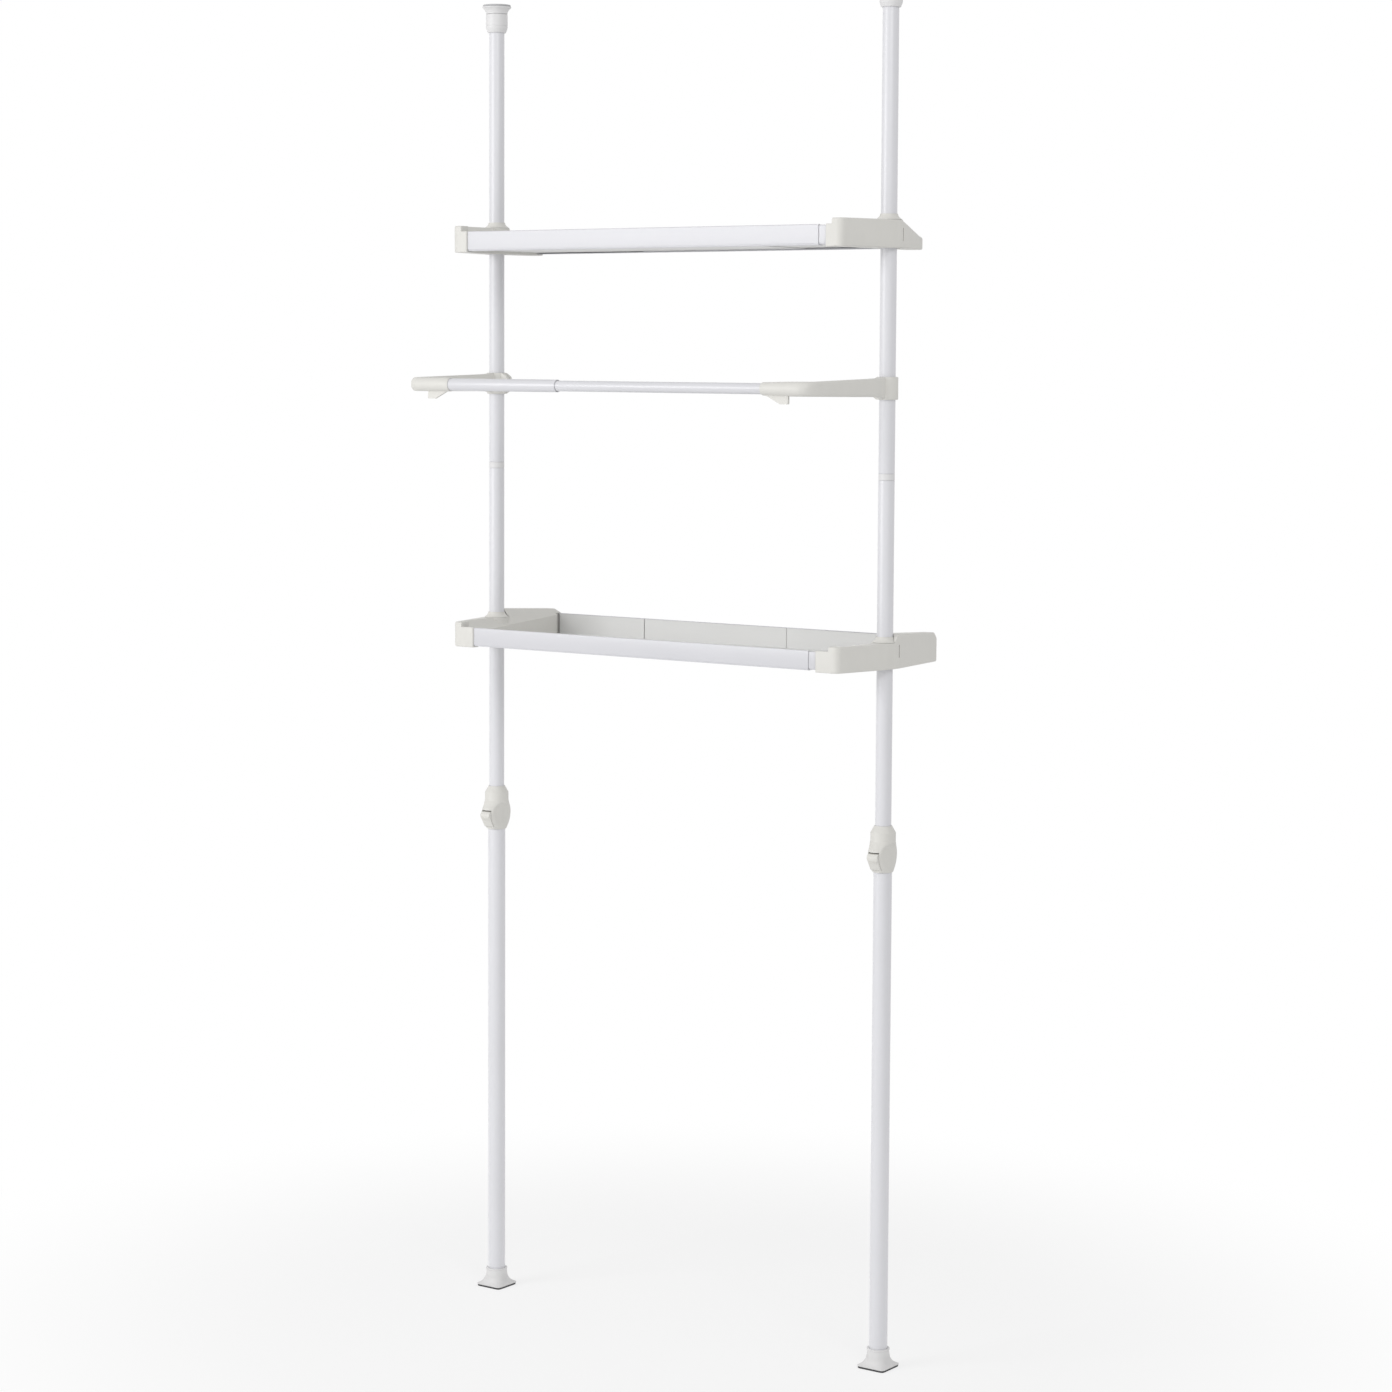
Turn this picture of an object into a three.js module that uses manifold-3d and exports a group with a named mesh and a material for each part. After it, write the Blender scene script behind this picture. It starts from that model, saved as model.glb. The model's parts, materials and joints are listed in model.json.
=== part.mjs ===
// A tension pole rack: two telescopic poles pinned between floor and ceiling carry two tray
// shelves and a hanging bar, which all widen together.
// Millimetres, +Z up, X along the shelves, -Y to the front.
import * as THREE from 'three';
import { mergeVertices } from 'three/addons/utils/BufferGeometryUtils.js';
import Module from 'manifold-3d';

const wasm = await Module();
wasm.setup();

// Whole unit
const ceilingHeight = 2400;
const poleSpacing = 857;
const seatGap = 0.3;
const slideGap = 0.4;
const cutOverrun = 5;

// How far up the room each thing sits, as a part of the ceiling height
const heightShares = {
  middleTube: 0.267,
  lock: 0.364,
  lowerShelf: 0.511,
  seam: 0.648,
  hanger: 0.711,
  upperShelf: 0.81,
};

// Roundness, in segments
const roundSegments = 32;
const smallSegments = 16;
const cornerSegments = 4;
const sweepSegments = 24;

// Poles
const lowerTubeRadius = 16;
const upperTubeRadius = 14;
const tubeWall = 1.2;
const middleTubeBottom = ceilingHeight * heightShares.middleTube;
const seamHeight = ceilingHeight * heightShares.seam;
const connectorBand = 11;
const connectorLength = 120;
const connectorWall = 2;

// Feet
const footSide = 56;
const footCorner = 6;
const soleThickness = 3;
const soleInset = 1;
const footHeight = 35;
const footNeckRadius = 20;
const footFloor = 8;
const footFlareShares = [
  { rise: 0, round: 0 },
  { rise: 0.12, round: 0.06 },
  { rise: 0.3, round: 0.38 },
  { rise: 0.52, round: 0.76 },
  { rise: 0.75, round: 0.95 },
  { rise: 1, round: 1 },
];

// Height locks
const lockBottom = ceilingHeight * heightShares.lock;
const lockHeight = 81;
const lockCheekHalfWidth = 17;
const lockFrontHalfWidth = 12.5;
const lockBackHalfWidth = 9;
const lockSkirtRadius = 17.5;
const lockCollarRadius = 22;
const lockCollarHeight = 15;
const lockConeHeight = 11;
const lockFrontReach = 36;
const lockBackReach = 33;
const lockTubeSeat = 21;
// How far the body has swelled from its round skirt to its full reach, from bottom to collar
const lockSwellShares = [
  { rise: 0, swell: 0 },
  { rise: 0.05, swell: 0.24 },
  { rise: 0.14, swell: 0.52 },
  { rise: 0.28, swell: 0.81 },
  { rise: 0.42, swell: 0.96 },
  { rise: 0.56, swell: 1 },
  { rise: 0.72, swell: 0.82 },
  { rise: 0.86, swell: 0.42 },
  { rise: 1, swell: 0 },
];
// Below one, this power makes the front of the body blunter than an ellipse
const lockFrontPower = 0.7;
// Where the flat cheeks start and stop along the body, and how high they stay upright
const cheekShares = { front: 0.2, back: 0.42, upright: 0.66 };
const leverHalfWidth = 10.5;
const leverPinHeight = 28;
const leverPinOffset = 27;
const leverHeadRadius = 7;
const leverFoot = 6;
const leverThickness = 6;
const leverPinRadius = 2;
const leverPinHalfLength = 13.2;
const leverTipInset = 10;
const leverTipDepth = 3;
const shoeHalfWidth = 6;
const shoeHeight = 12;

// Ceiling jacks
const jackHeight = 34;
const jackRadius = 20;
const jackTaper = 11;
const jackMouthRadius = 17;
const jackSeat = 8;
const stemRadius = 10;
const stemDepth = 115;
const capHeight = 13;
const capRadius = 26.5;
const capFlareShares = [
  { rise: 0, spread: 0 },
  { rise: 0.3, spread: 0.12 },
  { rise: 0.52, spread: 0.34 },
  { rise: 0.7, spread: 0.66 },
  { rise: 0.82, spread: 1 },
  { rise: 1, spread: 1 },
];
const padThickness = 3;
const padInset = 1;

// Shelves, shared sizes
const railSheet = 1;
const railStep = 2.5;
const railStepDepth = 3;
const railLip = 5;
const railLedge = 14;
const boardSheet = 0.8;
const bracketWeb = 2;
const tabThickness = 3;
const bossRadius = 23.5;
const bracketFrontWall = 19;
const bracketBackOuter = 3.5;
const bracketRampTop = 8;
// How high the ramp inside the bracket's rear wall starts, as a part of that wall's height
const rampFootShare = 0.4;
const bracketCorner = 14;
const bracketSmallCorner = 2;
const bracketBulge = 22.5;
const bracketBulgeHalf = 14;
const bracketFrontOuter = 8;
const slitOffset = 9;
const slitWidth = 2.5;
const slitHeight = 22;
const sleeveBottomRadius = 20;
const sleeveTopRadius = 18;
const sleeveFlangeRadius = 22.5;
const sleeveNeckRadius = 15.4;
const sleeveNeckHeight = 10;
// The flange's hollow slope, from its rim up to the neck
const sleeveSlopeShares = [
  { rise: 0.12, spread: 1 },
  { rise: 0.4, spread: 0.5 },
  { rise: 0.7, spread: 0.17 },
  { rise: 1, spread: 0 },
];
const sleeveSplit = 1.5;
const railScrewRadius = 2;
const railScrewHead = 4;
const railScrewHeadHeight = 1.4;
const railPocket = 4;
const outerRailEnd = 16;
const innerRailLength = 560;
const boardSeamShares = { ab: 0.25, bc: 0.483, cd: 0.65 };
const boardGap = 1.5;
const boardOverlap = 214;

// Lower shelf
const lowerShelf = {
  name: 'lower_shelf',
  bottom: ceilingHeight * heightShares.lowerShelf,
  frontReach: 136,
  backReach: 165,
  frontFace: 31,
  backFace: 39,
  tabInner: 54,
  tabHeight: 37,
  frontHeight: 45,
  rearHeight: 60,
  rearDrop: 8,
  endHeight: 42,
  endChamfer: 10,
  rearStart: 14,
};

// Upper shelf, with brackets that fall away behind the poles
const upperShelf = {
  name: 'upper_shelf',
  bottom: ceilingHeight * heightShares.upperShelf,
  frontReach: 136,
  backReach: 104,
  frontFace: 33,
  backFace: 14,
  tabInner: 40,
  tabHeight: 38,
  frontHeight: 48,
  rearHeight: 46,
  rearDrop: 22,
  endHeight: 21,
  endChamfer: 16,
  rearStart: 12,
};

// Hanging bar
const hangerHeight = ceilingHeight * heightShares.hanger;
const hangerReach = 241.5;
const collarRadius = 18.5;
const collarHeight = 39;
const armWidth = 14;
const armElbowHeight = 25;
// How the arm loses height from its collar onwards
const armFlareShares = [
  { along: 0, height: 0.97 },
  { along: 0.075, height: 0.95 },
  { along: 0.095, height: 0.86 },
  { along: 0.12, height: 0.79 },
  { along: 0.17, height: 0.75 },
];
const lugReach = 30;
const lugHalfWidth = 8;
const lugEndHeight = 24;
const lugSlit = 1.5;
const elbowBend = 20;
const elbowSleeveRadius = 12.5;
const elbowSleeveEnd = 92;
const outerBarRadius = 11;
const innerBarRadius = 9.4;
const barWall = 1.1;
const barStep = 96;
const barOverlap = 250;
const finThickness = 5;
const finDepth = 13;
const finNear = 40;
const finTip = 60;
const finShoulder = 74;
const hangerScrewRadius = 2.5;
const hangerScrewHead = 6;
const hangerScrewGrip = 8;
const hangerScrewInset = 6.5;
const hangerScrewDrop = 5;

// Sizes that follow
const halfSpacing = poleSpacing / 2;
const lockTop = lockBottom + lockHeight;
const middleTubeTop = seamHeight - connectorBand / 2 - seatGap;
const upperTubeBottom = seamHeight + connectorBand / 2 + seatGap;
const capFoot = ceilingHeight - padThickness - seatGap - capHeight;
const jackTop = capFoot - seatGap;
const jackBottom = jackTop - jackHeight;
const jackSeatHeight = jackBottom + jackSeat;
const upperTubeTop = jackSeatHeight - seatGap;
const lowerTubeBottom = footFloor + seatGap;
const lowerTubeTop = lockBottom + lockTubeSeat - seatGap;
const leverPinZ = lockBottom + leverPinHeight;
const bracketInner = bracketFrontOuter + bracketFrontWall;
const railBase = bracketWeb + seatGap;
const innerRailInset = railSheet + slideGap;
const lowBoardLift = innerRailInset + railSheet + seatGap;
const highBoardLift = lowBoardLift + boardSheet + seatGap;
const lowBoardInset = innerRailInset + railSheet + railStepDepth + seatGap;
const highBoardInset = lowBoardInset + boardSheet + seatGap;
const railScrewLength = railBase + lowBoardLift - seatGap;
const frontEdge = Math.max(
  hangerReach + elbowSleeveRadius,
  lowerShelf.frontReach,
  upperShelf.frontReach,
  lockFrontReach,
);
const backEdge = Math.max(lowerShelf.backReach, upperShelf.backReach, lockBackReach);
const poleSetback = (frontEdge - backEdge) / 2;

// Colours and finishes
const finishes = {
  tube: { color: 0xe4e4e9, roughness: 0.35, metalness: 0.1 },
  rail: { color: 0xe6e5ea, roughness: 0.3, metalness: 0.1 },
  board: { color: 0xdcdcd8, roughness: 0.4, metalness: 0.1 },
  plastic: { color: 0xdedcd6, roughness: 0.5, metalness: 0 },
  jack: { color: 0xe2e1dd, roughness: 0.5, metalness: 0 },
  rubber: { color: 0x5c5c5e, roughness: 0.9, metalness: 0 },
  steel: { color: 0xb9babd, roughness: 0.3, metalness: 0.9 },
};

const rack = new THREE.Group();
rack.position.y = poleSetback;

function piece(parent, name, geometry, finish) {
  const mesh = new THREE.Mesh(geometry, new THREE.MeshStandardMaterial(finishes[finish]));
  mesh.name = name;
  parent.add(mesh);
  return mesh;
}

// Turns a closed geometry into a solid that can be joined and cut
function solid(geometry) {
  const bare = geometry.clone();
  bare.deleteAttribute('normal');
  bare.deleteAttribute('uv');
  const merged = mergeVertices(bare);
  const triVerts = new Uint32Array(merged.index.array);
  const vertProperties = new Float32Array(merged.attributes.position.array);
  if (signedVolume(vertProperties, triVerts) < 0) flipTriangles(triVerts);
  return new wasm.Manifold(new wasm.Mesh({ numProp: 3, vertProperties, triVerts }));
}

function signedVolume(points, triangles) {
  const corner = (i) => new THREE.Vector3().fromArray(points, 3 * triangles[i]);
  let total = 0;
  for (let i = 0; i < triangles.length; i += 3) {
    total += corner(i).dot(corner(i + 1).cross(corner(i + 2))) / 6;
  }
  return total;
}

function flipTriangles(triangles) {
  for (let i = 0; i < triangles.length; i += 3) {
    const second = triangles[i + 1];
    triangles[i + 1] = triangles[i + 2];
    triangles[i + 2] = second;
  }
}

// Turns a solid back into a geometry
function geometryOf(body) {
  const mesh = body.getMesh();
  const geometry = new THREE.BufferGeometry();
  geometry.setAttribute('position', new THREE.BufferAttribute(mesh.vertProperties, 3));
  geometry.setIndex(new THREE.BufferAttribute(mesh.triVerts, 1));
  geometry.computeVertexNormals();
  return geometry;
}

function cut(body, ...tools) {
  return tools.reduce((left, tool) => left.subtract(tool), body);
}

function join(...bodies) {
  return bodies.reduce((whole, body) => whole.add(body));
}

// A solid of revolution about a vertical axis, from [radius, height] points
function turned(profile, segments = roundSegments) {
  const points = profile.map(([radius, height]) => new THREE.Vector2(radius, height));
  points.push(points[0].clone());
  const geometry = new THREE.LatheGeometry(points, segments);
  geometry.rotateX(Math.PI / 2);
  return solid(geometry);
}

function disc(radius, low, high, segments = roundSegments) {
  const geometry = new THREE.CylinderGeometry(radius, radius, high - low, segments);
  geometry.rotateX(Math.PI / 2);
  geometry.translate(0, 0, (low + high) / 2);
  return solid(geometry);
}

function pipe(radius, wall, low, high) {
  return turned([
    [radius - wall, low],
    [radius, low],
    [radius, high],
    [radius - wall, high],
  ]);
}

// A round bar along X or Y, between two places on that axis
function rod(radius, low, high, along, place, segments = smallSegments) {
  const geometry = new THREE.CylinderGeometry(radius, radius, high - low, segments);
  if (along === 'x') geometry.rotateZ(Math.PI / 2);
  geometry.translate(
    place.x ?? (low + high) / 2,
    place.y ?? (low + high) / 2,
    place.z,
  );
  return solid(geometry);
}

function block(low, high) {
  const geometry = new THREE.BoxGeometry(high[0] - low[0], high[1] - low[1], high[2] - low[2]);
  geometry.translate((low[0] + high[0]) / 2, (low[1] + high[1]) / 2, (low[2] + high[2]) / 2);
  return solid(geometry);
}

// An outline whose corners are rounded where a third value gives a radius
function outline(corners) {
  const shape = new THREE.Shape();
  const spots = corners.map(([x, y]) => new THREE.Vector2(x, y));
  corners.forEach((corner, i) => {
    const here = spots[i];
    const before = spots[(i + spots.length - 1) % spots.length];
    const after = spots[(i + 1) % spots.length];
    const limit = Math.min(here.distanceTo(before), here.distanceTo(after)) / 2;
    const trim = Math.min(corner[2] ?? 0, limit);
    const start = here.clone().add(before.clone().sub(here).setLength(trim));
    const end = here.clone().add(after.clone().sub(here).setLength(trim));
    if (i === 0) shape.moveTo(start.x, start.y);
    else shape.lineTo(start.x, start.y);
    if (trim > 0) shape.quadraticCurveTo(here.x, here.y, end.x, end.y);
  });
  shape.closePath();
  return shape;
}

// An outline in X and Y raised between two heights
function raised(corners, low, high) {
  const options = { depth: high - low, bevelEnabled: false, curveSegments: cornerSegments };
  const geometry = new THREE.ExtrudeGeometry(outline(corners), options);
  geometry.translate(0, 0, low);
  return solid(geometry);
}

// An outline in Y and Z carried along X
function carried(corners, low, high) {
  const options = { depth: high - low, bevelEnabled: false, curveSegments: cornerSegments };
  const geometry = new THREE.ExtrudeGeometry(outline(corners), options);
  geometry.rotateX(Math.PI / 2);
  geometry.rotateZ(Math.PI / 2);
  geometry.translate(low, 0, 0);
  return solid(geometry);
}

// An outline in X and Z carried along Y
function finned(corners, low, high) {
  const options = { depth: high - low, bevelEnabled: false, curveSegments: cornerSegments };
  const geometry = new THREE.ExtrudeGeometry(outline(corners), options);
  geometry.rotateX(Math.PI / 2);
  geometry.translate(0, high, 0);
  return solid(geometry);
}

// A closed skin over rings that all have the same number of points
function skinned(rings) {
  const count = rings[0].length;
  const positions = rings.flat().flatMap((point) => [point.x, point.y, point.z]);
  const triangles = [];
  for (let r = 0; r + 1 < rings.length; r += 1) {
    for (let i = 0; i < count; i += 1) {
      const a = r * count + i;
      const b = r * count + ((i + 1) % count);
      triangles.push(a, b, b + count, a, b + count, a + count);
    }
  }
  const last = (rings.length - 1) * count;
  for (let i = 1; i + 1 < count; i += 1) {
    triangles.push(0, i + 1, i);
    triangles.push(last, last + i, last + i + 1);
  }
  const geometry = new THREE.BufferGeometry();
  geometry.setAttribute('position', new THREE.Float32BufferAttribute(positions, 3));
  geometry.setIndex(triangles);
  return solid(geometry);
}

// The point at an angle on a square with round corners
function squarePoint(angle, side, corner) {
  const core = side / 2 - corner;
  const x = Math.cos(angle);
  const y = Math.sin(angle);
  const reach = Math.max(Math.abs(x), Math.abs(y));
  const spot = new THREE.Vector2(x, y).multiplyScalar((core + corner) / reach);
  const near = new THREE.Vector2(
    THREE.MathUtils.clamp(spot.x, -core, core),
    THREE.MathUtils.clamp(spot.y, -core, core),
  );
  const out = spot.clone().sub(near);
  if (out.lengthSq() === 0) return spot;
  return near.add(out.setLength(corner));
}

function makeSole() {
  const half = footSide / 2 - soleInset;
  const corners = [
    [-half, -half, footCorner],
    [half, -half, footCorner],
    [half, half, footCorner],
    [-half, half, footCorner],
  ];
  return raised(corners, 0, soleThickness);
}

function makeFoot() {
  const bottom = soleThickness + seatGap;
  const rings = footFlareShares.map(({ rise, round }) => {
    const ring = [];
    for (let i = 0; i < roundSegments; i += 1) {
      const angle = (2 * Math.PI * i) / roundSegments;
      const square = squarePoint(angle, footSide, footCorner);
      const circle = new THREE.Vector2(Math.cos(angle), Math.sin(angle)).multiplyScalar(footNeckRadius);
      const mixed = square.lerp(circle, round);
      ring.push(new THREE.Vector3(mixed.x, mixed.y, bottom + rise * (footHeight - bottom)));
    }
    return ring;
  });
  return cut(
    skinned(rings),
    disc(lowerTubeRadius + seatGap, footFloor, footHeight + cutOverrun),
  );
}

// One level section of the lock: half an ellipse to the back, and to the front a half that
// grows blunter as the body swells
function lockRing(height, half, front, back, swell) {
  const ring = [];
  for (let i = 0; i < roundSegments; i += 1) {
    const angle = (2 * Math.PI * i) / roundSegments;
    const across = Math.cos(angle);
    const along = Math.sin(angle);
    const power = along < 0 ? THREE.MathUtils.lerp(1, lockFrontPower, swell) : 1;
    const x = half * Math.sign(across) * Math.abs(across) ** power;
    const y = (along < 0 ? front : back) * Math.sign(along) * Math.abs(along) ** power;
    ring.push(new THREE.Vector3(x, y, height));
  }
  return ring;
}

// The plan that the cheeks are cut to: narrow in front and behind, widest beside the pole
function cheekRing(height, spread) {
  const plan = [
    [lockCheekHalfWidth, -lockFrontReach * cheekShares.front],
    [lockCheekHalfWidth, lockBackReach * cheekShares.back],
    [lockBackHalfWidth, lockBackReach + cutOverrun],
    [-lockBackHalfWidth, lockBackReach + cutOverrun],
    [-lockCheekHalfWidth, lockBackReach * cheekShares.back],
    [-lockCheekHalfWidth, -lockFrontReach * cheekShares.front],
    [-lockFrontHalfWidth, -lockFrontReach - seatGap],
    [lockFrontHalfWidth, -lockFrontReach - seatGap],
  ];
  return plan.map(([x, y]) => new THREE.Vector3(x + Math.sign(x) * spread, y, height));
}

// The lock grips the inner tube: a body with flat cheeks below a round collar
function makeLockBody() {
  const shoulder = lockTop - lockConeHeight;
  const collarFoot = shoulder - lockCollarHeight;
  const height = collarFoot - lockBottom;
  const swollen = skinned(lockSwellShares.map(({ rise, swell }) => {
    const round = THREE.MathUtils.lerp(lockSkirtRadius, lockCollarRadius, rise);
    return lockRing(
      lockBottom + rise * height,
      round,
      THREE.MathUtils.lerp(round, lockFrontReach, swell),
      THREE.MathUtils.lerp(round, lockBackReach, swell),
      swell,
    );
  }));
  const spread = lockCollarRadius - lockFrontHalfWidth;
  const cheeks = skinned([
    cheekRing(lockBottom - cutOverrun, 0),
    cheekRing(lockBottom + height * cheekShares.upright, 0),
    cheekRing(collarFoot + seatGap, spread),
  ]);
  const barrel = turned([
    [0, lockBottom],
    [lockCheekHalfWidth, lockBottom],
    [lockCheekHalfWidth, collarFoot],
    [lockCollarRadius, collarFoot],
    [lockCollarRadius, shoulder],
    [upperTubeRadius + tubeWall, lockTop],
    [0, lockTop],
  ]);
  const pocketBack = leverPinOffset - leverHeadRadius - seatGap;
  const pocketTop = leverPinZ + leverHeadRadius + leverPinRadius + seatGap;
  const pocketHalf = leverHalfWidth + slideGap;
  const pocket = block(
    [-pocketHalf, -lockFrontReach - cutOverrun, lockBottom - cutOverrun],
    [pocketHalf, -pocketBack, pocketTop],
  );
  const windowHalf = shoeHalfWidth + seatGap;
  const shoeWindow = block(
    [-windowHalf, -pocketBack - cutOverrun, leverPinZ - shoeHeight / 2 - seatGap],
    [windowHalf, 0, leverPinZ + shoeHeight / 2 + seatGap],
  );
  const pinHoleHalf = lockCheekHalfWidth + cutOverrun;
  return cut(
    join(swollen.intersect(cheeks), barrel),
    disc(lowerTubeRadius + seatGap, lockBottom - cutOverrun, lockBottom + lockTubeSeat),
    disc(upperTubeRadius + seatGap, lockBottom - cutOverrun, lockTop + cutOverrun),
    pocket,
    shoeWindow,
    rod(leverPinRadius + seatGap, -pinHoleHalf, pinHoleHalf, 'x', {
      y: -leverPinOffset,
      z: leverPinZ,
    }),
  );
}

function makeLockLever() {
  const head = rod(leverHeadRadius, -leverHalfWidth, leverHalfWidth, 'x', {
    y: -leverPinOffset,
    z: leverPinZ,
  }, sweepSegments);
  const front = -leverPinOffset - leverHeadRadius;
  const low = lockBottom + leverFoot;
  const knuckle = low + leverThickness * 2;
  const handle = carried([
    [front + leverPinRadius, leverPinZ + leverHeadRadius / 2],
    [front - leverPinRadius, leverPinZ, leverPinRadius],
    [front - leverPinRadius, leverPinZ - leverHeadRadius / 2, leverThickness],
    [front + leverThickness / 2, knuckle, leverThickness],
    [front + leverTipInset, low],
    [front + leverTipInset + leverTipDepth, low],
    [front + leverTipInset, knuckle, leverThickness],
    [front + leverThickness, leverPinZ],
  ], -leverHalfWidth, leverHalfWidth);
  const holeHalf = leverHalfWidth + cutOverrun;
  const hole = rod(leverPinRadius + seatGap, -holeHalf, holeHalf, 'x', {
    y: -leverPinOffset,
    z: leverPinZ,
  });
  return cut(join(head, handle), hole);
}

function makeBrakeShoe() {
  const back = leverPinOffset - leverHeadRadius - seatGap;
  const shoe = block(
    [-shoeHalfWidth, -back, leverPinZ - shoeHeight / 2],
    [shoeHalfWidth, 0, leverPinZ + shoeHeight / 2],
  );
  return cut(shoe, disc(upperTubeRadius + seatGap, lockBottom, lockTop));
}

function makeConnector() {
  const spigot = upperTubeRadius - tubeWall - seatGap;
  const low = seamHeight - connectorLength / 2;
  const high = seamHeight + connectorLength / 2;
  return join(
    pipe(spigot, connectorWall, low, high),
    pipe(upperTubeRadius, connectorWall * 2, seamHeight - connectorBand / 2, seamHeight + connectorBand / 2),
  );
}

function makeJackNut() {
  return turned([
    [upperTubeRadius + seatGap, jackBottom],
    [jackMouthRadius, jackBottom],
    [jackRadius, jackBottom + jackTaper],
    [jackRadius, jackTop],
    [stemRadius + slideGap, jackTop],
    [stemRadius + slideGap, jackSeatHeight],
    [upperTubeRadius + seatGap, jackSeatHeight],
  ]);
}

function makeCeilingCap() {
  const flare = capFlareShares.map(({ rise, spread }) => [
    jackRadius + spread * (capRadius - jackRadius),
    capFoot + rise * capHeight,
  ]);
  return turned([
    [0, capFoot - stemDepth],
    [stemRadius, capFoot - stemDepth],
    [stemRadius, capFoot],
    ...flare,
    [0, capFoot + capHeight],
  ]);
}

function makePole(side, direction) {
  const pole = new THREE.Group();
  pole.position.x = direction * halfSpacing;
  rack.add(pole);
  const add = (name, body, finish) => piece(pole, `${side}_${name}`, geometryOf(body), finish);
  add('foot_sole', makeSole(), 'rubber');
  add('foot', makeFoot(), 'plastic');
  add('lower_tube', pipe(lowerTubeRadius, tubeWall, lowerTubeBottom, lowerTubeTop), 'tube');
  add('lock_body', makeLockBody(), 'plastic');
  add('lock_lever', makeLockLever(), 'plastic');
  add('lever_pin', rod(leverPinRadius, -leverPinHalfLength, leverPinHalfLength, 'x', {
    y: -leverPinOffset,
    z: leverPinZ,
  }), 'steel');
  add('brake_shoe', makeBrakeShoe(), 'rubber');
  add('middle_tube', pipe(upperTubeRadius, tubeWall, middleTubeBottom, middleTubeTop), 'tube');
  add('tube_connector', makeConnector(), 'plastic');
  add('upper_tube', pipe(upperTubeRadius, tubeWall, upperTubeBottom, upperTubeTop), 'tube');
  add('jack_nut', makeJackNut(), 'jack');
  add('ceiling_cap', makeCeilingCap(), 'jack');
  add('ceiling_pad', disc(capRadius - padInset, ceilingHeight - padThickness, ceilingHeight), 'rubber');
}

// Shelf parts are made for the right-hand side, outward being +X from the pole
function bracketPlan(shelf) {
  const front = -shelf.frontReach;
  return [
    [-shelf.tabInner, front],
    [-bracketFrontOuter, front, bracketCorner],
    [bracketBulge, -bracketBulgeHalf, bracketBulgeHalf],
    [bracketBulge, bracketBulgeHalf, bracketBulgeHalf],
    [bracketBackOuter, shelf.backReach, bracketSmallCorner],
    [-bracketInner, shelf.backReach, bracketSmallCorner],
    [-bracketInner, front + tabThickness],
    [-shelf.tabInner, front + tabThickness],
  ];
}

function bracketSide(shelf) {
  const front = -shelf.frontReach - cutOverrun;
  const back = shelf.backReach;
  return [
    [front, 0],
    [back, 0],
    [back, shelf.endHeight],
    [back - shelf.endChamfer, shelf.rearHeight - shelf.rearDrop],
    [shelf.rearStart, shelf.rearHeight],
    [0, shelf.frontHeight],
    [front, shelf.frontHeight],
  ];
}

// The two channels that carry the boards: the wider one is on the left half of the shelf.
// Its depth grows inwards from the face of the rail.
function railSection(face, inset) {
  const top = railStep + face;
  const wall = inset + railSheet;
  const step = inset + railStepDepth;
  return [
    [railLip, top - inset],
    [inset, top - inset],
    [inset, railStep + inset],
    [step, railStep + inset],
    [step, inset],
    [railLedge, inset],
    [railLedge, wall],
    [step + railSheet, wall],
    [step + railSheet, railStep + wall],
    [wall, railStep + wall],
    [wall, top - wall],
    [railLip, top - wall],
  ];
}

function frontFaceOf(shelf) {
  return -shelf.frontReach + tabThickness + seatGap;
}

function backFaceOf(shelf) {
  return shelf.backReach - tabThickness - seatGap;
}

function rail(shelf, place, inset, low, high) {
  const isFront = place === 'front';
  const face = isFront ? shelf.frontFace : shelf.backFace;
  const start = isFront ? frontFaceOf(shelf) : backFaceOf(shelf);
  const sign = isFront ? 1 : -1;
  const section = railSection(face, inset).map(([depth, rise]) => [
    start + sign * depth,
    shelf.bottom + railBase + rise,
  ]);
  const channel = carried(section, low, high);
  if (!isFront) return channel;
  const spot = railScrewPlace(shelf);
  const end = inset > 0 ? halfSpacing + spot.x : -halfSpacing - spot.x;
  const hole = disc(railScrewRadius + seatGap, 0, railBase + lowBoardLift, smallSegments);
  return cut(channel, hole.translate([end, spot.y, shelf.bottom]));
}

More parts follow.
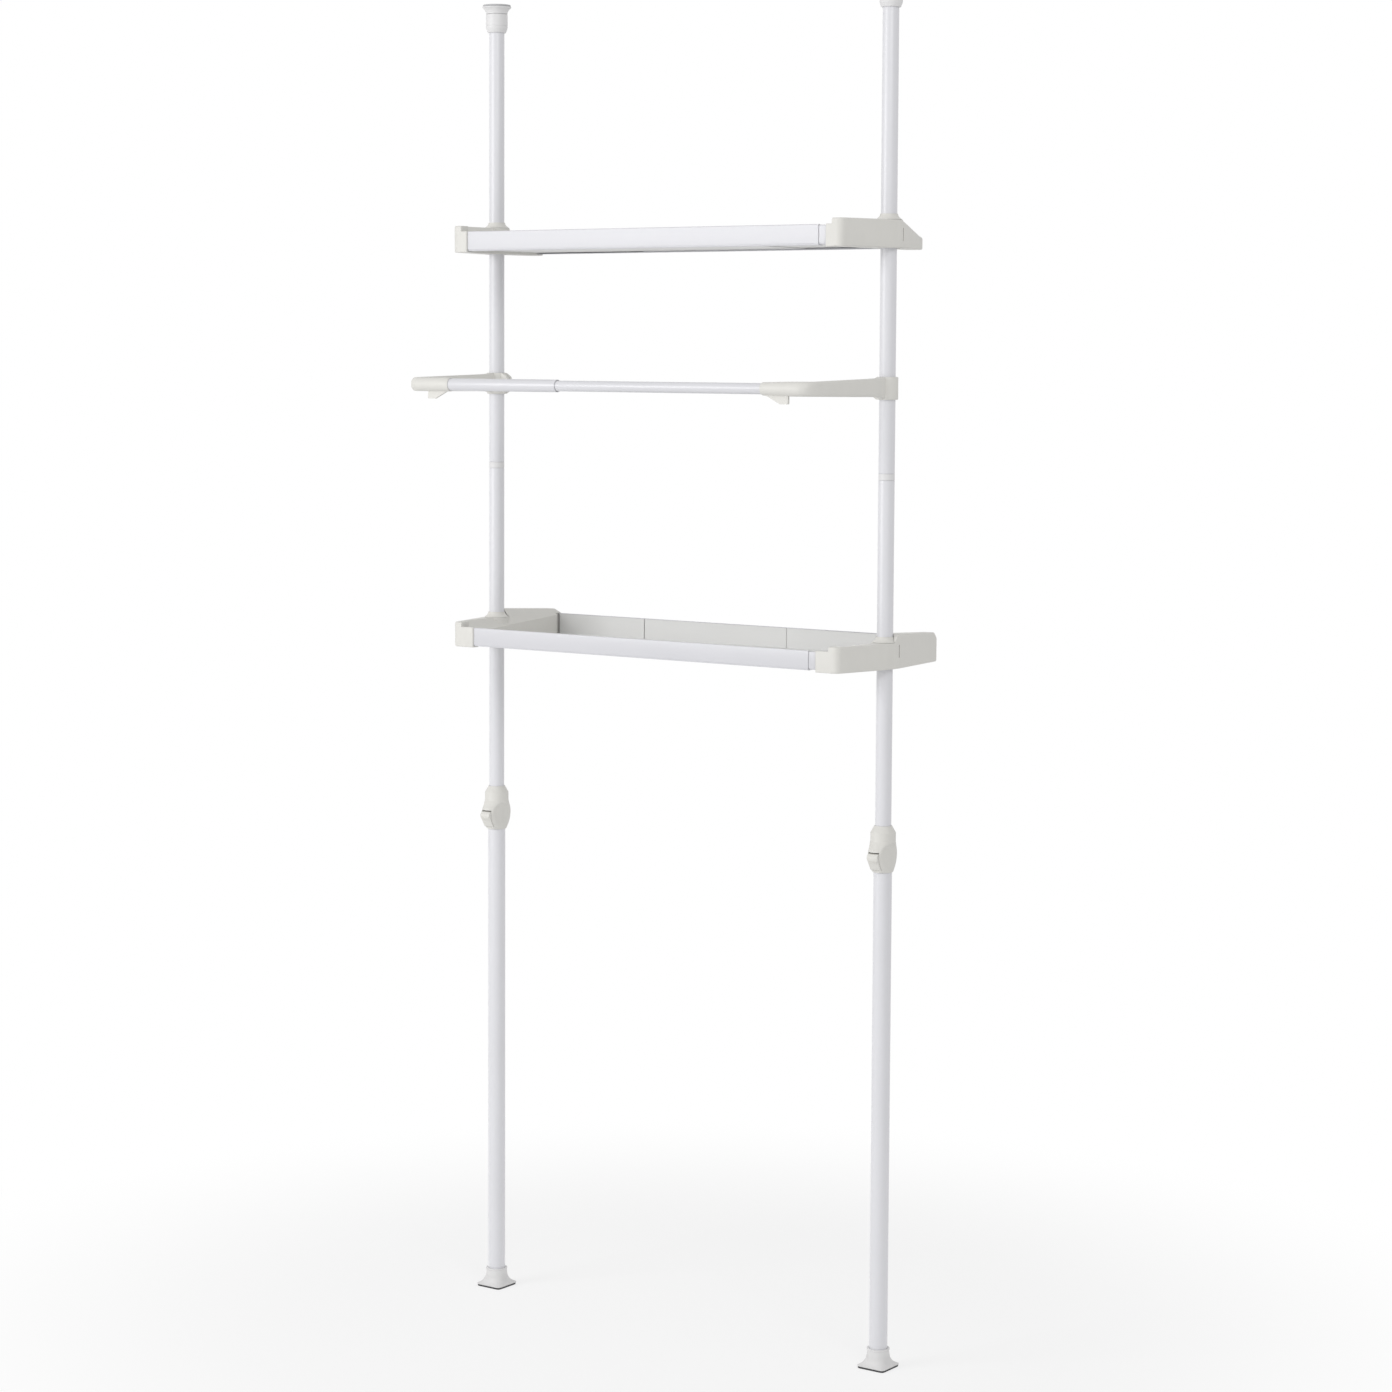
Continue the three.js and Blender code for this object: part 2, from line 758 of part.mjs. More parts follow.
function makeBracket(shelf) {
  const top = Math.max(shelf.frontHeight, shelf.rearHeight) + cutOverrun;
  const side = carried(bracketSide(shelf), -shelf.tabInner - cutOverrun, bossRadius + cutOverrun);
  const shell = raised(bracketPlan(shelf), 0, top).intersect(side);
  const boss = disc(bossRadius, 0, shelf.frontHeight);
  const front = -shelf.frontReach;
  const web = block(
    [-shelf.tabInner, front + tabThickness / 2, 0],
    [-bracketInner + cutOverrun, front + tabThickness + railLedge, bracketWeb],
  );
  const tabCut = block(
    [-shelf.tabInner - cutOverrun, front - cutOverrun, shelf.tabHeight],
    [-bracketInner, front + tabThickness + cutOverrun, top],
  );
  const gap = seatGap;
  const frontPocket = block(
    [-bracketInner - cutOverrun, front + tabThickness, bracketWeb],
    [-bracketInner + railPocket + gap, front + tabThickness + railLedge + gap * 2, railTop(shelf, 'front')],
  );
  const backPocket = block(
    [-bracketInner - cutOverrun, backFaceOf(shelf) - railLedge - gap, bracketWeb],
    [-bracketInner + railPocket + gap, backFaceOf(shelf) + gap, railTop(shelf, 'back')],
  );
  const rampFoot = shelf.rearHeight * rampFootShare;
  const ramp = finned([
    [-bracketInner - cutOverrun, rampFoot],
    [-bracketInner, rampFoot],
    [-bracketRampTop, shelf.rearHeight],
    [-bracketRampTop, top],
    [-bracketInner - cutOverrun, top],
  ], bossRadius, shelf.backReach + cutOverrun);
  const bore = turned([
    [0, -cutOverrun],
    [sleeveBottomRadius + gap, -cutOverrun],
    [sleeveBottomRadius + gap, bracketWeb],
    [sleeveTopRadius + gap, shelf.frontHeight],
    [sleeveFlangeRadius + gap, shelf.frontHeight],
    [sleeveFlangeRadius + gap, top],
    [0, top],
  ]);
  const slitLow = (shelf.rearHeight - slitHeight) / 2;
  const slit = block(
    [upperTubeRadius / 2, slitOffset, slitLow],
    [bossRadius + cutOverrun, slitOffset + slitWidth, slitLow + slitHeight],
  );
  const body = cut(
    join(shell, boss, web),
    tabCut,
    frontPocket,
    backPocket,
    ramp,
    bore,
    slit,
    railScrewHole(shelf),
  );
  return body.translate([0, 0, shelf.bottom]);
}

function railTop(shelf, place) {
  const face = place === 'front' ? shelf.frontFace : shelf.backFace;
  return railBase + railStep + face + seatGap;
}

function railScrewPlace(shelf) {
  const inboard = (shelf.tabInner + bracketInner) / 2;
  return { x: -inboard, y: frontFaceOf(shelf) + (railStepDepth + railLedge) / 2 + railScrewRadius };
}

function railScrewHole(shelf) {
  const place = railScrewPlace(shelf);
  const shaft = disc(railScrewRadius + seatGap, -cutOverrun, bracketWeb + cutOverrun, smallSegments);
  const head = disc(railScrewHead + seatGap, -cutOverrun, railScrewHeadHeight + seatGap, smallSegments);
  return join(shaft, head).translate([place.x, place.y, 0]);
}

function makeRailScrew(shelf) {
  const place = railScrewPlace(shelf);
  const shaft = disc(railScrewRadius, railScrewHeadHeight / 2, railScrewLength, smallSegments);
  const head = disc(railScrewHead, 0, railScrewHeadHeight, smallSegments);
  return join(shaft, head).translate([place.x, place.y, shelf.bottom]);
}

// A split cone that the bracket draws tight on the pole
function makeWedgeSleeve(shelf) {
  const low = bracketWeb;
  const high = shelf.frontHeight + seatGap;
  const slope = sleeveSlopeShares.map(({ rise, spread }) => [
    sleeveNeckRadius + spread * (sleeveFlangeRadius - sleeveNeckRadius),
    high + rise * sleeveNeckHeight,
  ]);
  const cone = turned([
    [upperTubeRadius + seatGap, low],
    [sleeveBottomRadius, low],
    [sleeveTopRadius, high],
    [sleeveFlangeRadius, high],
    ...slope,
    [upperTubeRadius + seatGap, high + sleeveNeckHeight],
  ]);
  const split = block(
    [-sleeveSplit / 2, 0, -cutOverrun],
    [sleeveSplit / 2, sleeveFlangeRadius + cutOverrun, high + sleeveNeckHeight + cutOverrun],
  );
  return cut(cone, split).translate([0, 0, shelf.bottom]);
}

// A tray board between two places along the shelf, notched round a pole boss
function makeBoard(shelf, lift, inset, low, high, notchAt) {
  const base = shelf.bottom + railBase + lift;
  const front = frontFaceOf(shelf) + inset;
  const back = backFaceOf(shelf) - inset;
  const rise = shelf.bottom + railBase + railStep;
  const frontTop = rise + shelf.frontFace - railSheet;
  const backTop = rise + shelf.backFace - railSheet;
  const tray = carried([
    [front, base],
    [back, base],
    [back, backTop],
    [back - boardSheet, backTop],
    [back - boardSheet, base + boardSheet],
    [front + boardSheet, base + boardSheet],
    [front + boardSheet, frontTop],
    [front, frontTop],
  ], low, high);
  if (notchAt === undefined) return tray;
  const notch = disc(bossRadius + slideGap, base - cutOverrun, base + cutOverrun);
  return cut(tray, notch.translate([notchAt, 0, 0]));
}

function makeShelf(shelf) {
  const add = (name, body, finish) => {
    return piece(rack, `${shelf.name}_${name}`, geometryOf(body), finish);
  };
  const toRight = [halfSpacing, 0, 0];
  const pairs = [
    ['bracket', makeBracket(shelf), 'plastic'],
    ['wedge_sleeve', makeWedgeSleeve(shelf), 'plastic'],
    ['rail_screw', makeRailScrew(shelf), 'steel'],
  ];
  for (const [name, body, finish] of pairs) {
    const placed = body.translate(toRight);
    add(`right_${name}`, placed, finish);
    add(`left_${name}`, placed.mirror([1, 0, 0]), finish);
  }
  const outerEnd = halfSpacing - shelf.tabInner - outerRailEnd;
  for (const place of ['front', 'back']) {
    const end = halfSpacing - bracketInner + railPocket;
    add(`${place}_outer_rail`, rail(shelf, place, 0, -end, outerEnd), 'rail');
    add(`${place}_inner_rail`, rail(shelf, place, innerRailInset, end - innerRailLength, end), 'rail');
  }
  const edge = halfSpacing - bracketInner - slideGap;
  const seam = (share) => -edge + 2 * edge * share;
  const half = boardGap / 2;
  const boards = [
    ['board_a', 'low', -edge, seam(boardSeamShares.ab) - half, -halfSpacing],
    ['board_b', 'low', seam(boardSeamShares.ab) + half, seam(boardSeamShares.bc) + boardOverlap],
    ['board_c', 'high', seam(boardSeamShares.bc), seam(boardSeamShares.cd) - half],
    ['board_d', 'high', seam(boardSeamShares.cd) + half, edge, halfSpacing],
  ];
  for (const [name, level, low, high, notchAt] of boards) {
    const lift = level === 'low' ? lowBoardLift : highBoardLift;
    const inset = level === 'low' ? lowBoardInset : highBoardInset;
    add(name, makeBoard(shelf, lift, inset, low, high, notchAt), 'board');
  }
}

// A ring across the arm: a rounded box section that can swell into a circle
function armRing(spot, heading, width, height, round) {
  const across = new THREE.Vector2(-heading.y, heading.x);
  const ring = [];
  for (let i = 0; i < sweepSegments; i += 1) {
    const angle = (2 * Math.PI * (i + 1 / 2)) / sweepSegments;
    const square = squarePoint(angle, 2, 1 - round / 2);
    const circle = new THREE.Vector2(Math.cos(angle), Math.sin(angle));
    const mixed = square.lerp(circle, round);
    const sideways = across.clone().multiplyScalar((mixed.x * width) / 2);
    ring.push(new THREE.Vector3(spot.x + sideways.x, spot.y + sideways.y, (mixed.y * height) / 2));
  }
  return ring;
}

function makeHangerArm(barRadius) {
  const forward = new THREE.Vector2(0, -1);
  const elbowStart = hangerReach - elbowBend;
  const rings = armFlareShares.map(({ along, height }) => {
    const spot = new THREE.Vector2(0, -along * elbowStart);
    return armRing(spot, forward, armWidth, height * collarHeight, 0);
  });
  rings.push(armRing(new THREE.Vector2(0, -elbowStart), forward, armWidth, armElbowHeight, 0));
  const bendSteps = cornerSegments;
  const sleeve = elbowSleeveRadius * 2;
  for (let i = 1; i <= bendSteps; i += 1) {
    const share = i / bendSteps;
    const turn = (share * Math.PI) / 2;
    const spot = new THREE.Vector2(
      -elbowBend + elbowBend * Math.cos(turn),
      -elbowStart - elbowBend * Math.sin(turn),
    );
    const heading = new THREE.Vector2(-Math.sin(turn), -Math.cos(turn));
    const width = THREE.MathUtils.lerp(armWidth, sleeve, share);
    const height = THREE.MathUtils.lerp(armElbowHeight, sleeve, share);
    rings.push(armRing(spot, heading, width, height, share));
  }
  const inboard = new THREE.Vector2(-1, 0);
  rings.push(armRing(new THREE.Vector2(-elbowSleeveEnd, -hangerReach), inboard, sleeve, sleeve, 1));
  const arm = skinned(rings);
  const collar = disc(collarRadius, -collarHeight / 2, collarHeight / 2);
  const drop = -elbowSleeveRadius - finDepth;
  const core = -elbowSleeveRadius / 2 - barRadius / 2;
  const fin = finned([
    [-finNear, core],
    [-elbowSleeveEnd, core],
    [-finShoulder, -elbowSleeveRadius],
    [-finTip, drop],
    [-finNear, drop],
  ], -hangerReach - finThickness / 2, -hangerReach + finThickness / 2);
  const barBore = rod(barRadius + seatGap, -elbowSleeveEnd - cutOverrun, -elbowBend, 'x', {
    y: -hangerReach,
    z: 0,
  }, sweepSegments);
  const poleBore = disc(upperTubeRadius + seatGap, -collarHeight, collarHeight);
  const lug = finned([
    [0, -collarHeight / 2],
    [-collarRadius, -collarHeight / 2],
    [-lugReach, -lugEndHeight / 2, lugHalfWidth],
    [-lugReach, lugEndHeight / 2, lugHalfWidth],
    [-collarRadius, collarHeight / 2],
    [0, collarHeight / 2],
  ], -lugHalfWidth, lugHalfWidth);
  const slit = block(
    [-lugReach - cutOverrun, -lugSlit / 2, -collarHeight],
    [0, lugSlit / 2, collarHeight],
  );
  const screwHoleHalf = lugHalfWidth + cutOverrun;
  const screwHole = rod(
    hangerScrewRadius + seatGap,
    -screwHoleHalf,
    screwHoleHalf,
    'y',
    hangerScrewPlace(),
  );
  return cut(join(arm, collar, fin, lug), barBore, poleBore, slit, screwHole);
}

function hangerScrewPlace() {
  return { x: hangerScrewInset - lugReach, z: -hangerScrewDrop };
}

// A thumb screw that draws the two halves of the lug together, with its head behind
function makeHangerScrew() {
  const headFoot = lugHalfWidth + seatGap;
  const place = hangerScrewPlace();
  return join(
    rod(hangerScrewRadius, -lugHalfWidth, headFoot + seatGap, 'y', place),
    rod(hangerScrewHead, headFoot, headFoot + hangerScrewGrip, 'y', place),
  );
}

function makeBar(radius, low, high) {
  const outer = rod(radius, low, high, 'x', { y: -hangerReach, z: 0 }, sweepSegments);
  const inner = rod(radius - barWall, low - cutOverrun, high + cutOverrun, 'x', {
    y: -hangerReach,
    z: 0,
  }, sweepSegments);
  return cut(outer, inner);
}

function makeHanger() {
  const hanger = new THREE.Group();
  hanger.position.z = hangerHeight;
  rack.add(hanger);
  const add = (name, body, finish) => piece(hanger, `hanger_${name}`, geometryOf(body), finish);
  const toRight = [halfSpacing, 0, 0];
  const across = [1, 0, 0];
  add('right_arm', makeHangerArm(innerBarRadius).translate(toRight), 'plastic');
  add('left_arm', makeHangerArm(outerBarRadius).translate(toRight).mirror(across), 'plastic');
  add('right_screw', makeHangerScrew().translate(toRight), 'steel');
  add('left_screw', makeHangerScrew().translate(toRight).mirror(across), 'steel');
  const end = halfSpacing - elbowBend - seatGap;
  add('outer_bar', makeBar(outerBarRadius, -end, -barStep), 'tube');
  add('inner_bar', makeBar(innerBarRadius, -barStep - barOverlap, end), 'tube');
}

makePole('left', -1);
makePole('right', 1);
makeShelf(lowerShelf);
makeShelf(upperShelf);
makeHanger();

export default rack;
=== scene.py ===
"""The tension pole rack, dressed for rendering: every part of the frame gets its moulded, rolled or
turned shape and its own finish. Metres, +Z up, X along the shelves, -Y to the front."""

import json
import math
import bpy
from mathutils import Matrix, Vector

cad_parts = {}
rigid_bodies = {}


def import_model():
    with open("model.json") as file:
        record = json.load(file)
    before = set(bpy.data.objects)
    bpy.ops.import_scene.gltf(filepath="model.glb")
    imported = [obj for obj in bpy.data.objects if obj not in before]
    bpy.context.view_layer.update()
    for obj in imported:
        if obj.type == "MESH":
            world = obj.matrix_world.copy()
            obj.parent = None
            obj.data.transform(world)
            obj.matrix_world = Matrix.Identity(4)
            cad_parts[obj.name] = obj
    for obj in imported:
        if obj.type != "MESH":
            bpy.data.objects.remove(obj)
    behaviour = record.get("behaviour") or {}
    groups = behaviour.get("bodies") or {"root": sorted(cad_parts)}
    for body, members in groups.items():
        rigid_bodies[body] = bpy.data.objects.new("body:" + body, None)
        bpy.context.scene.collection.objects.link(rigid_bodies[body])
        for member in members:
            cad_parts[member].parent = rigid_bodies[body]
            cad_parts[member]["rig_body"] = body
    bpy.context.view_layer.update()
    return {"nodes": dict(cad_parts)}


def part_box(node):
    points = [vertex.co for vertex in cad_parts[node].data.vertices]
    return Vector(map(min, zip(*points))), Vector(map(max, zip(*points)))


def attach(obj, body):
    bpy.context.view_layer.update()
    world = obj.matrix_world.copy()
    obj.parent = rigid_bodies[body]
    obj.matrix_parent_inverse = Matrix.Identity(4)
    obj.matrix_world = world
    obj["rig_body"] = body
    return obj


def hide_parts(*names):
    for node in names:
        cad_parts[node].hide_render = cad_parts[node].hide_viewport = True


bl_info = {
    "name": "Tension pole rack",
    "version": (1, 0, 0),
    "blender": (4, 5, 0),
    "location": "3D View > Sidebar > Rack",
    "description": "Builds the looks of a two-pole shelf rack around its frame",
    "category": "Add Mesh",
}

import bmesh
import bpy
from bpy.props import FloatProperty, FloatVectorProperty, IntProperty, PointerProperty
from mathutils import Matrix, Vector

for leftover in list(bpy.data.objects):
    bpy.data.objects.remove(leftover)
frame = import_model()

MM = 0.001
QUARTER = math.pi / 2
SIDES = ("left", "right")
SHELVES = ("lower_shelf", "upper_shelf")
# Corners that are nearer than this are merged
MERGE = 0.000002
TINY = 0.000000001
# Corners this close to straight or to folded back aren't rounded
SLIGHT = 0.01
# How many points go round a large piece, a collar, a bore, an arm, a screw and a screw hole
ROUND = 96
COLLAR_ROUND = 80
BORE_ROUND = 72
ARM_ROUND = 48
SCREW_ROUND = 40
HOLE_ROUND = 32
# How far a cutter reaches past what it cuts
OVERRUN = 5 * MM
LONG_OVERRUN = 10 * MM
COLLAR_OVERRUN = 30 * MM


def low_of(node):
    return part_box(node)[0]


def high_of(node):
    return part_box(node)[1]


def middle_of(node):
    low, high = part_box(node)
    return (low + high) / 2


def radius_of(node):
    """Half of a frame part's width along X."""
    low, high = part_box(node)
    return (high.x - low.x) / 2


def pole_axis(side):
    middle = middle_of(f"{side}_upper_tube")
    return Vector((middle.x, middle.y))


def outward(side):
    """The way along X from the middle of the rack to the pole on that side."""
    return 1 if side == "right" else -1


# Sizes and colours that a user can change


def length_property(name, description, default, least, most):
    """A length that is given in millimetres."""
    limits = {"default": default * MM, "min": least * MM, "max": most * MM}
    return FloatProperty(name=name, description=description, unit="LENGTH", **limits)


def count_property(name, description, default, least, most):
    return IntProperty(name=name, description=description, default=default, min=least, max=most)


def light_property(name, description, default, subtype="POWER"):
    return FloatProperty(name=name, description=description, default=default, min=0, subtype=subtype)


def colour_property(name, description, default):
    limits = {"size": 3, "min": 0, "max": 1}
    return FloatVectorProperty(
        name=name, description=description, subtype="COLOR", default=default, **limits
    )


class RackSizes(bpy.types.PropertyGroup):
    """Sizes of the finish, which stay inside the frame's own sizes."""

    tube_wall: length_property("Tube wall", "Wall of the steel tubes", 1.2, 0.5, 3)
    sheet: length_property("Rail sheet", "Sheet that the rails are rolled from", 1.0, 0.5, 2)
    board_sheet: length_property("Board sheet", "Sheet that the boards are folded from", 0.8, 0.4, 1.5)
    bend: length_property("Bend radius", "Radius of the folds in rails and boards", 1.2, 0.6, 2)
    moulded_edge: length_property("Moulded edge", "Rounding of plastic parts' edges", 1.1, 0.2, 3)
    thread_pitch: length_property("Thread pitch", "How far a turn of the jack climbs", 4, 2, 6)
    grip_ribs: count_property("Grip ribs", "Finger ribs on each lock lever", 4, 2, 8)
    knurls: count_property("Knurls", "Ridges round each clamp screw's head", 18, 8, 32)


class RackColours(bpy.types.PropertyGroup):
    """The finishes' colours, as linear light."""

    tube: colour_property("Tubes", "Paint on the poles and the bar", (0.74, 0.74, 0.77))
    rail: colour_property("Rails", "Paint on the shelf rails", (0.645, 0.645, 0.675))
    board: colour_property("Boards", "Paint on the tray boards", (0.70, 0.70, 0.69))
    plastic: colour_property("Mouldings", "Brackets, locks, sleeves and arms", (0.715, 0.705, 0.67))
    jack: colour_property("Jacks", "Jack sleeves and ceiling caps", (0.76, 0.755, 0.76))
    foot: colour_property("Feet", "Moulded feet", (0.73, 0.725, 0.725))
    pad: colour_property("Ceiling pads", "Soft pads against the ceiling", (0.5, 0.5, 0.51))
    rubber: colour_property("Rubber", "Soles under the feet", (0.055, 0.055, 0.058))
    steel: colour_property("Screws", "Plated screws and pins", (0.62, 0.62, 0.64))


class RackStage(bpy.types.PropertyGroup):
    """Light, floor and camera."""

    key_power: light_property("Key light", "Power of the large lamp at the front left", 92)
    fill_power: light_property("Fill light", "Power of the soft lamp at the right", 42)
    bounce_power: light_property("Bounce light", "Power of the low lamp under the shelves", 3)
    sky: light_property("Room light", "Strength of the even light from all round", 0.6, "FACTOR")
    floor: colour_property("Floor", "Colour of the pale floor", (0.86, 0.86, 0.86))
    lens: FloatProperty(
        name="Lens",
        description="Focal length of the camera",
        default=85.795,
        min=20,
        subtype="DISTANCE_CAMERA",
    )


# Node graphs


class Sum:
    """A node's output that can be used in sums, each of which adds its Math node."""

    def __init__(self, graph, socket):
        self.graph = graph
        self.socket = socket

    def math(self, operation, first, second):
        return self.graph.node("ShaderNodeMath", {"operation": operation}, {0: first, 1: second})

    def other(self, output):
        """Another output of the same node."""
        return Sum(self.graph, self.socket.node.outputs[output])

    def __add__(self, other):
        return self.math("ADD", self, other)

    def __radd__(self, other):
        return self.math("ADD", other, self)

    def __sub__(self, other):
        return self.math("SUBTRACT", self, other)

    def __rsub__(self, other):
        return self.math("SUBTRACT", other, self)

    def __mul__(self, other):
        return self.math("MULTIPLY", self, other)

    def __rmul__(self, other):
        return self.math("MULTIPLY", other, self)


class Graph:
    """Adds nodes to a shader or geometry tree."""

    def __init__(self, tree):
        self.tree = tree

    def feed(self, socket, value):
        """Links a node's output to a socket, or sets the socket's own value."""
        if isinstance(value, Sum):
            self.tree.links.new(value.socket, socket)
        else:
            socket.default_value = value

    def node(self, kind, settings=None, values=None, output=0):
        """Adds one node: its settings first, then its sockets' values or links."""
        node = self.tree.nodes.new(kind)
        for name, value in (settings or {}).items():
            setattr(node, name, value)
        for place, value in (values or {}).items():
            self.feed(node.inputs[place], value)
        return Sum(self, node.outputs[output])

    def seen_directly(self):
        """One where the camera looks straight at a thing, at its reflection or through glass."""
        seen = self.node("ShaderNodeLightPath", output="Is Camera Ray")
        path = seen
        for ray in ("Is Glossy Ray", "Is Transmission Ray"):
            seen = seen.math("MAXIMUM", seen, path.other(ray))
        return seen


class Tree(Graph):
    """A geometry tree with named inputs, whose kinds follow from their defaults."""

    KINDS = {int: "NodeSocketInt", float: "NodeSocketFloat", tuple: "NodeSocketVector"}

    def __init__(self, name, **inputs):
        super().__init__(bpy.data.node_groups.new(name, "GeometryNodeTree"))
        for key, default in inputs.items():
            kind = self.KINDS[type(default)]
            item = self.tree.interface.new_socket(name=key, in_out="INPUT", socket_type=kind)
            item.default_value = default
        self.entry = self.tree.nodes.new("NodeGroupInput")

    def given(self, name):
        return Sum(self, self.entry.outputs[name])

    def close(self, geometry, finish_name, **moves):
        """Moves the geometry as the named inputs say and ends in plain geometry with its material."""
        if moves:
            values = {name: self.given(given) for name, given in moves.items()}
            geometry = self.node("GeometryNodeTransform", values={"Geometry": geometry, **values})
        real = self.node("GeometryNodeRealizeInstances", values={"Geometry": geometry})
        values = {"Geometry": real, "Material": finish(finish_name)}
        painted = self.node("GeometryNodeSetMaterial", values=values)
        self.tree.interface.new_socket(
            name="Geometry", in_out="OUTPUT", socket_type="NodeSocketGeometry"
        )
        self.feed(self.tree.nodes.new("NodeGroupOutput").inputs["Geometry"], painted)
        return self

    def grow(self, name, **values):
        """Runs the tree with the given inputs and gives its plain mesh as an object."""
        thing = solid(name, bpy.data.meshes.new(name))
        step = thing.modifiers.new("grow", "NODES")
        step.node_group = self.tree
        for item in self.tree.interface.items_tree:
            if item.in_out == "INPUT" and item.name in values:
                step[item.identifier] = values[item.name]
        return bake(thing)


# Finishes

COAT_ROUGHNESS = 0.12
# The heights of orange peel and turning lines, draw lines, moulded grain and rubber pebbles
PEEL = 0.08 * MM
DRAW_LINES = 0.06 * MM
GRAIN = 0.09 * MM
PEBBLES = 0.2 * MM
# How the rubber's scuffs stand out of their noise
SCUFF_RANGE = {"from_min": 0.52, "from_max": 0.78}
# Stretches a pattern along the poles, or along the shelves
ALONG_POLES = (1, 1, 0.03)
ALONG_SHELVES = (0.03, 1, 1)
ALONG_BOARDS = (0.05, 1, 1)


def shade(colour, amount):
    return tuple(min(1, channel * amount) for channel in colour)


class Finish(Graph):
    """A material, with its even values set on its Principled shader."""

    def __init__(self, name, roughness, metallic=0.0, coat=0.0):
        self.material = bpy.data.materials.new(name)
        self.material.use_nodes = True
        super().__init__(self.material.node_tree)
        self.shader = self.tree.nodes["Principled BSDF"]
        self.shader.inputs["Roughness"].default_value = roughness
        self.shader.inputs["Metallic"].default_value = metallic
        self.shader.inputs["Coat Weight"].default_value = coat
        self.shader.inputs["Coat Roughness"].default_value = COAT_ROUGHNESS

    def places(self, scale=(1, 1, 1)):
        here = self.node("ShaderNodeTexCoord", output="Object")
        return self.node("ShaderNodeMapping", values={"Vector": here, "Scale": scale})

    def noise(self, at, scale, detail, roughness=0.5):
        values = {"Vector": at, "Scale": scale, "Detail": detail, "Roughness": roughness}
        return self.node("ShaderNodeTexNoise", values=values)

    def bump(self, height, strength, distance, **under):
        values = {"Height": height, "Strength": strength, "Distance": distance, **under}
        return self.node("ShaderNodeBump", values=values)

    def span(self, value, kind, **ends):
        """Maps a value from one range to another."""
        places = {name.replace("_", " ").title(): end for name, end in ends.items()}
        values = {"Value": value, **places}
        return self.node("ShaderNodeMapRange", {"interpolation_type": kind}, values)

    def vary_colour(self, factor, colour, dark, light):
        """Lets the base colour go between two shades of the finish's colour."""
        values = {0: factor, 6: (*shade(colour, dark), 1), 7: (*shade(colour, light), 1)}
        mixed = self.node("ShaderNodeMix", {"data_type": "RGBA"}, values, output=2)
        self.feed(self.shader.inputs["Base Color"], mixed)

    def vary_surface(self, roughness, normal):
        self.feed(self.shader.inputs["Roughness"], roughness)
        self.feed(self.shader.inputs["Normal"], normal)


def painted_steel(name, colour, stretch, roughness):
    """Powder paint on rolled steel: fine orange peel, faint draw lines along the length."""
    paint = Finish(name, roughness, coat=0.1)
    at = paint.places()
    cloud = paint.noise(at, scale=9, detail=4)
    draw = paint.noise(paint.places(stretch), scale=260, detail=2)
    peel = paint.noise(at, scale=620, detail=2, roughness=0.45)
    paint.vary_colour(cloud * 0.7 + draw * 0.3, colour, 0.965, 1.03)
    lines = paint.bump(draw, 0.10, DRAW_LINES)
    skin_bump = paint.bump(peel, 0.16, PEEL, Normal=lines)
    paint.vary_surface(roughness - 0.07 + cloud * 0.09 + peel * 0.05, skin_bump)
    return paint.material


def moulded_plastic(name, colour, roughness, grain=1500):
    """Moulded plastic with the fine texture of its tool and a little cloudiness."""
    plastic = Finish(name, roughness)
    at = plastic.places()
    cloud = plastic.noise(at, scale=26, detail=3)
    texture = plastic.noise(at, scale=grain, detail=3, roughness=0.6)
    flow = plastic.noise(plastic.places((1, 1, 0.25)), scale=70, detail=2)
    plastic.vary_colour(cloud * 0.6 + flow * 0.4, colour, 0.95, 1.035)
    plastic.vary_surface(roughness - 0.06 + texture * 0.12, plastic.bump(texture, 0.22, GRAIN))
    return plastic.material


def soft_rubber(name, colour, scuffed=2.2):
    """Dull rubber with a pebbled skin and paler scuffs."""
    rubber = Finish(name, 0.82)
    at = rubber.places()
    pebble = rubber.node("ShaderNodeTexVoronoi", values={"Vector": at, "Scale": 900})
    scuff = rubber.noise(at, scale=90, detail=5, roughness=0.7)
    rubber.vary_colour(rubber.span(scuff, "LINEAR", **SCUFF_RANGE), colour, 1, scuffed)
    rubber.vary_surface(0.74 + pebble * 0.2, rubber.bump(pebble, 0.4, PEBBLES))
    return rubber.material


def plated_steel(name, colour):
    """Zinc plating with fine turning lines."""
    plating = Finish(name, 0.3, metallic=1.0)
    lines = plating.noise(plating.places((1, 1, 9)), scale=420, detail=2)
    cloud = plating.noise(plating.places(), scale=300, detail=3)
    plating.vary_colour(cloud, colour, 0.85, 1.1)
    plating.vary_surface(0.24 + lines * 0.18, plating.bump(lines, 0.25, PEEL))
    return plating.material


FINISHES = {}


def make_finishes(colours):
    FINISHES["tube"] = painted_steel("tube_paint", colours.tube, ALONG_POLES, 0.34)
    # The bar has the same paint as the poles: this copy is darkened by 0.93 as painted shade
    FINISHES["bar"] = painted_steel("bar_paint", shade(colours.tube, 0.93), ALONG_SHELVES, 0.32)
    FINISHES["rail"] = painted_steel("rail_paint", colours.rail, ALONG_SHELVES, 0.33)
    FINISHES["board"] = painted_steel("board_paint", colours.board, ALONG_BOARDS, 0.42)
    FINISHES["plastic"] = moulded_plastic("moulded_plastic", colours.plastic, 0.5)
    FINISHES["jack"] = moulded_plastic("jack_plastic", colours.jack, 0.46, 1800)
    FINISHES["foot"] = moulded_plastic("foot_plastic", colours.foot, 0.5)
    FINISHES["rubber"] = soft_rubber("sole_rubber", colours.rubber)
    FINISHES["pad"] = soft_rubber("pad_rubber", colours.pad, 1.15)
    FINISHES["steel"] = plated_steel("plated_steel", colours.steel)


def finish(name):
    if not FINISHES:
        make_finishes(bpy.context.scene.rack_colours)
    return FINISHES[name]


# Outlines and profiles


def near(across, up, *steps):
    """Points near a corner of a profile: steps across and up from it, in millimetres."""
    return [(across + side * MM, up + rise * MM) for side, rise in steps]


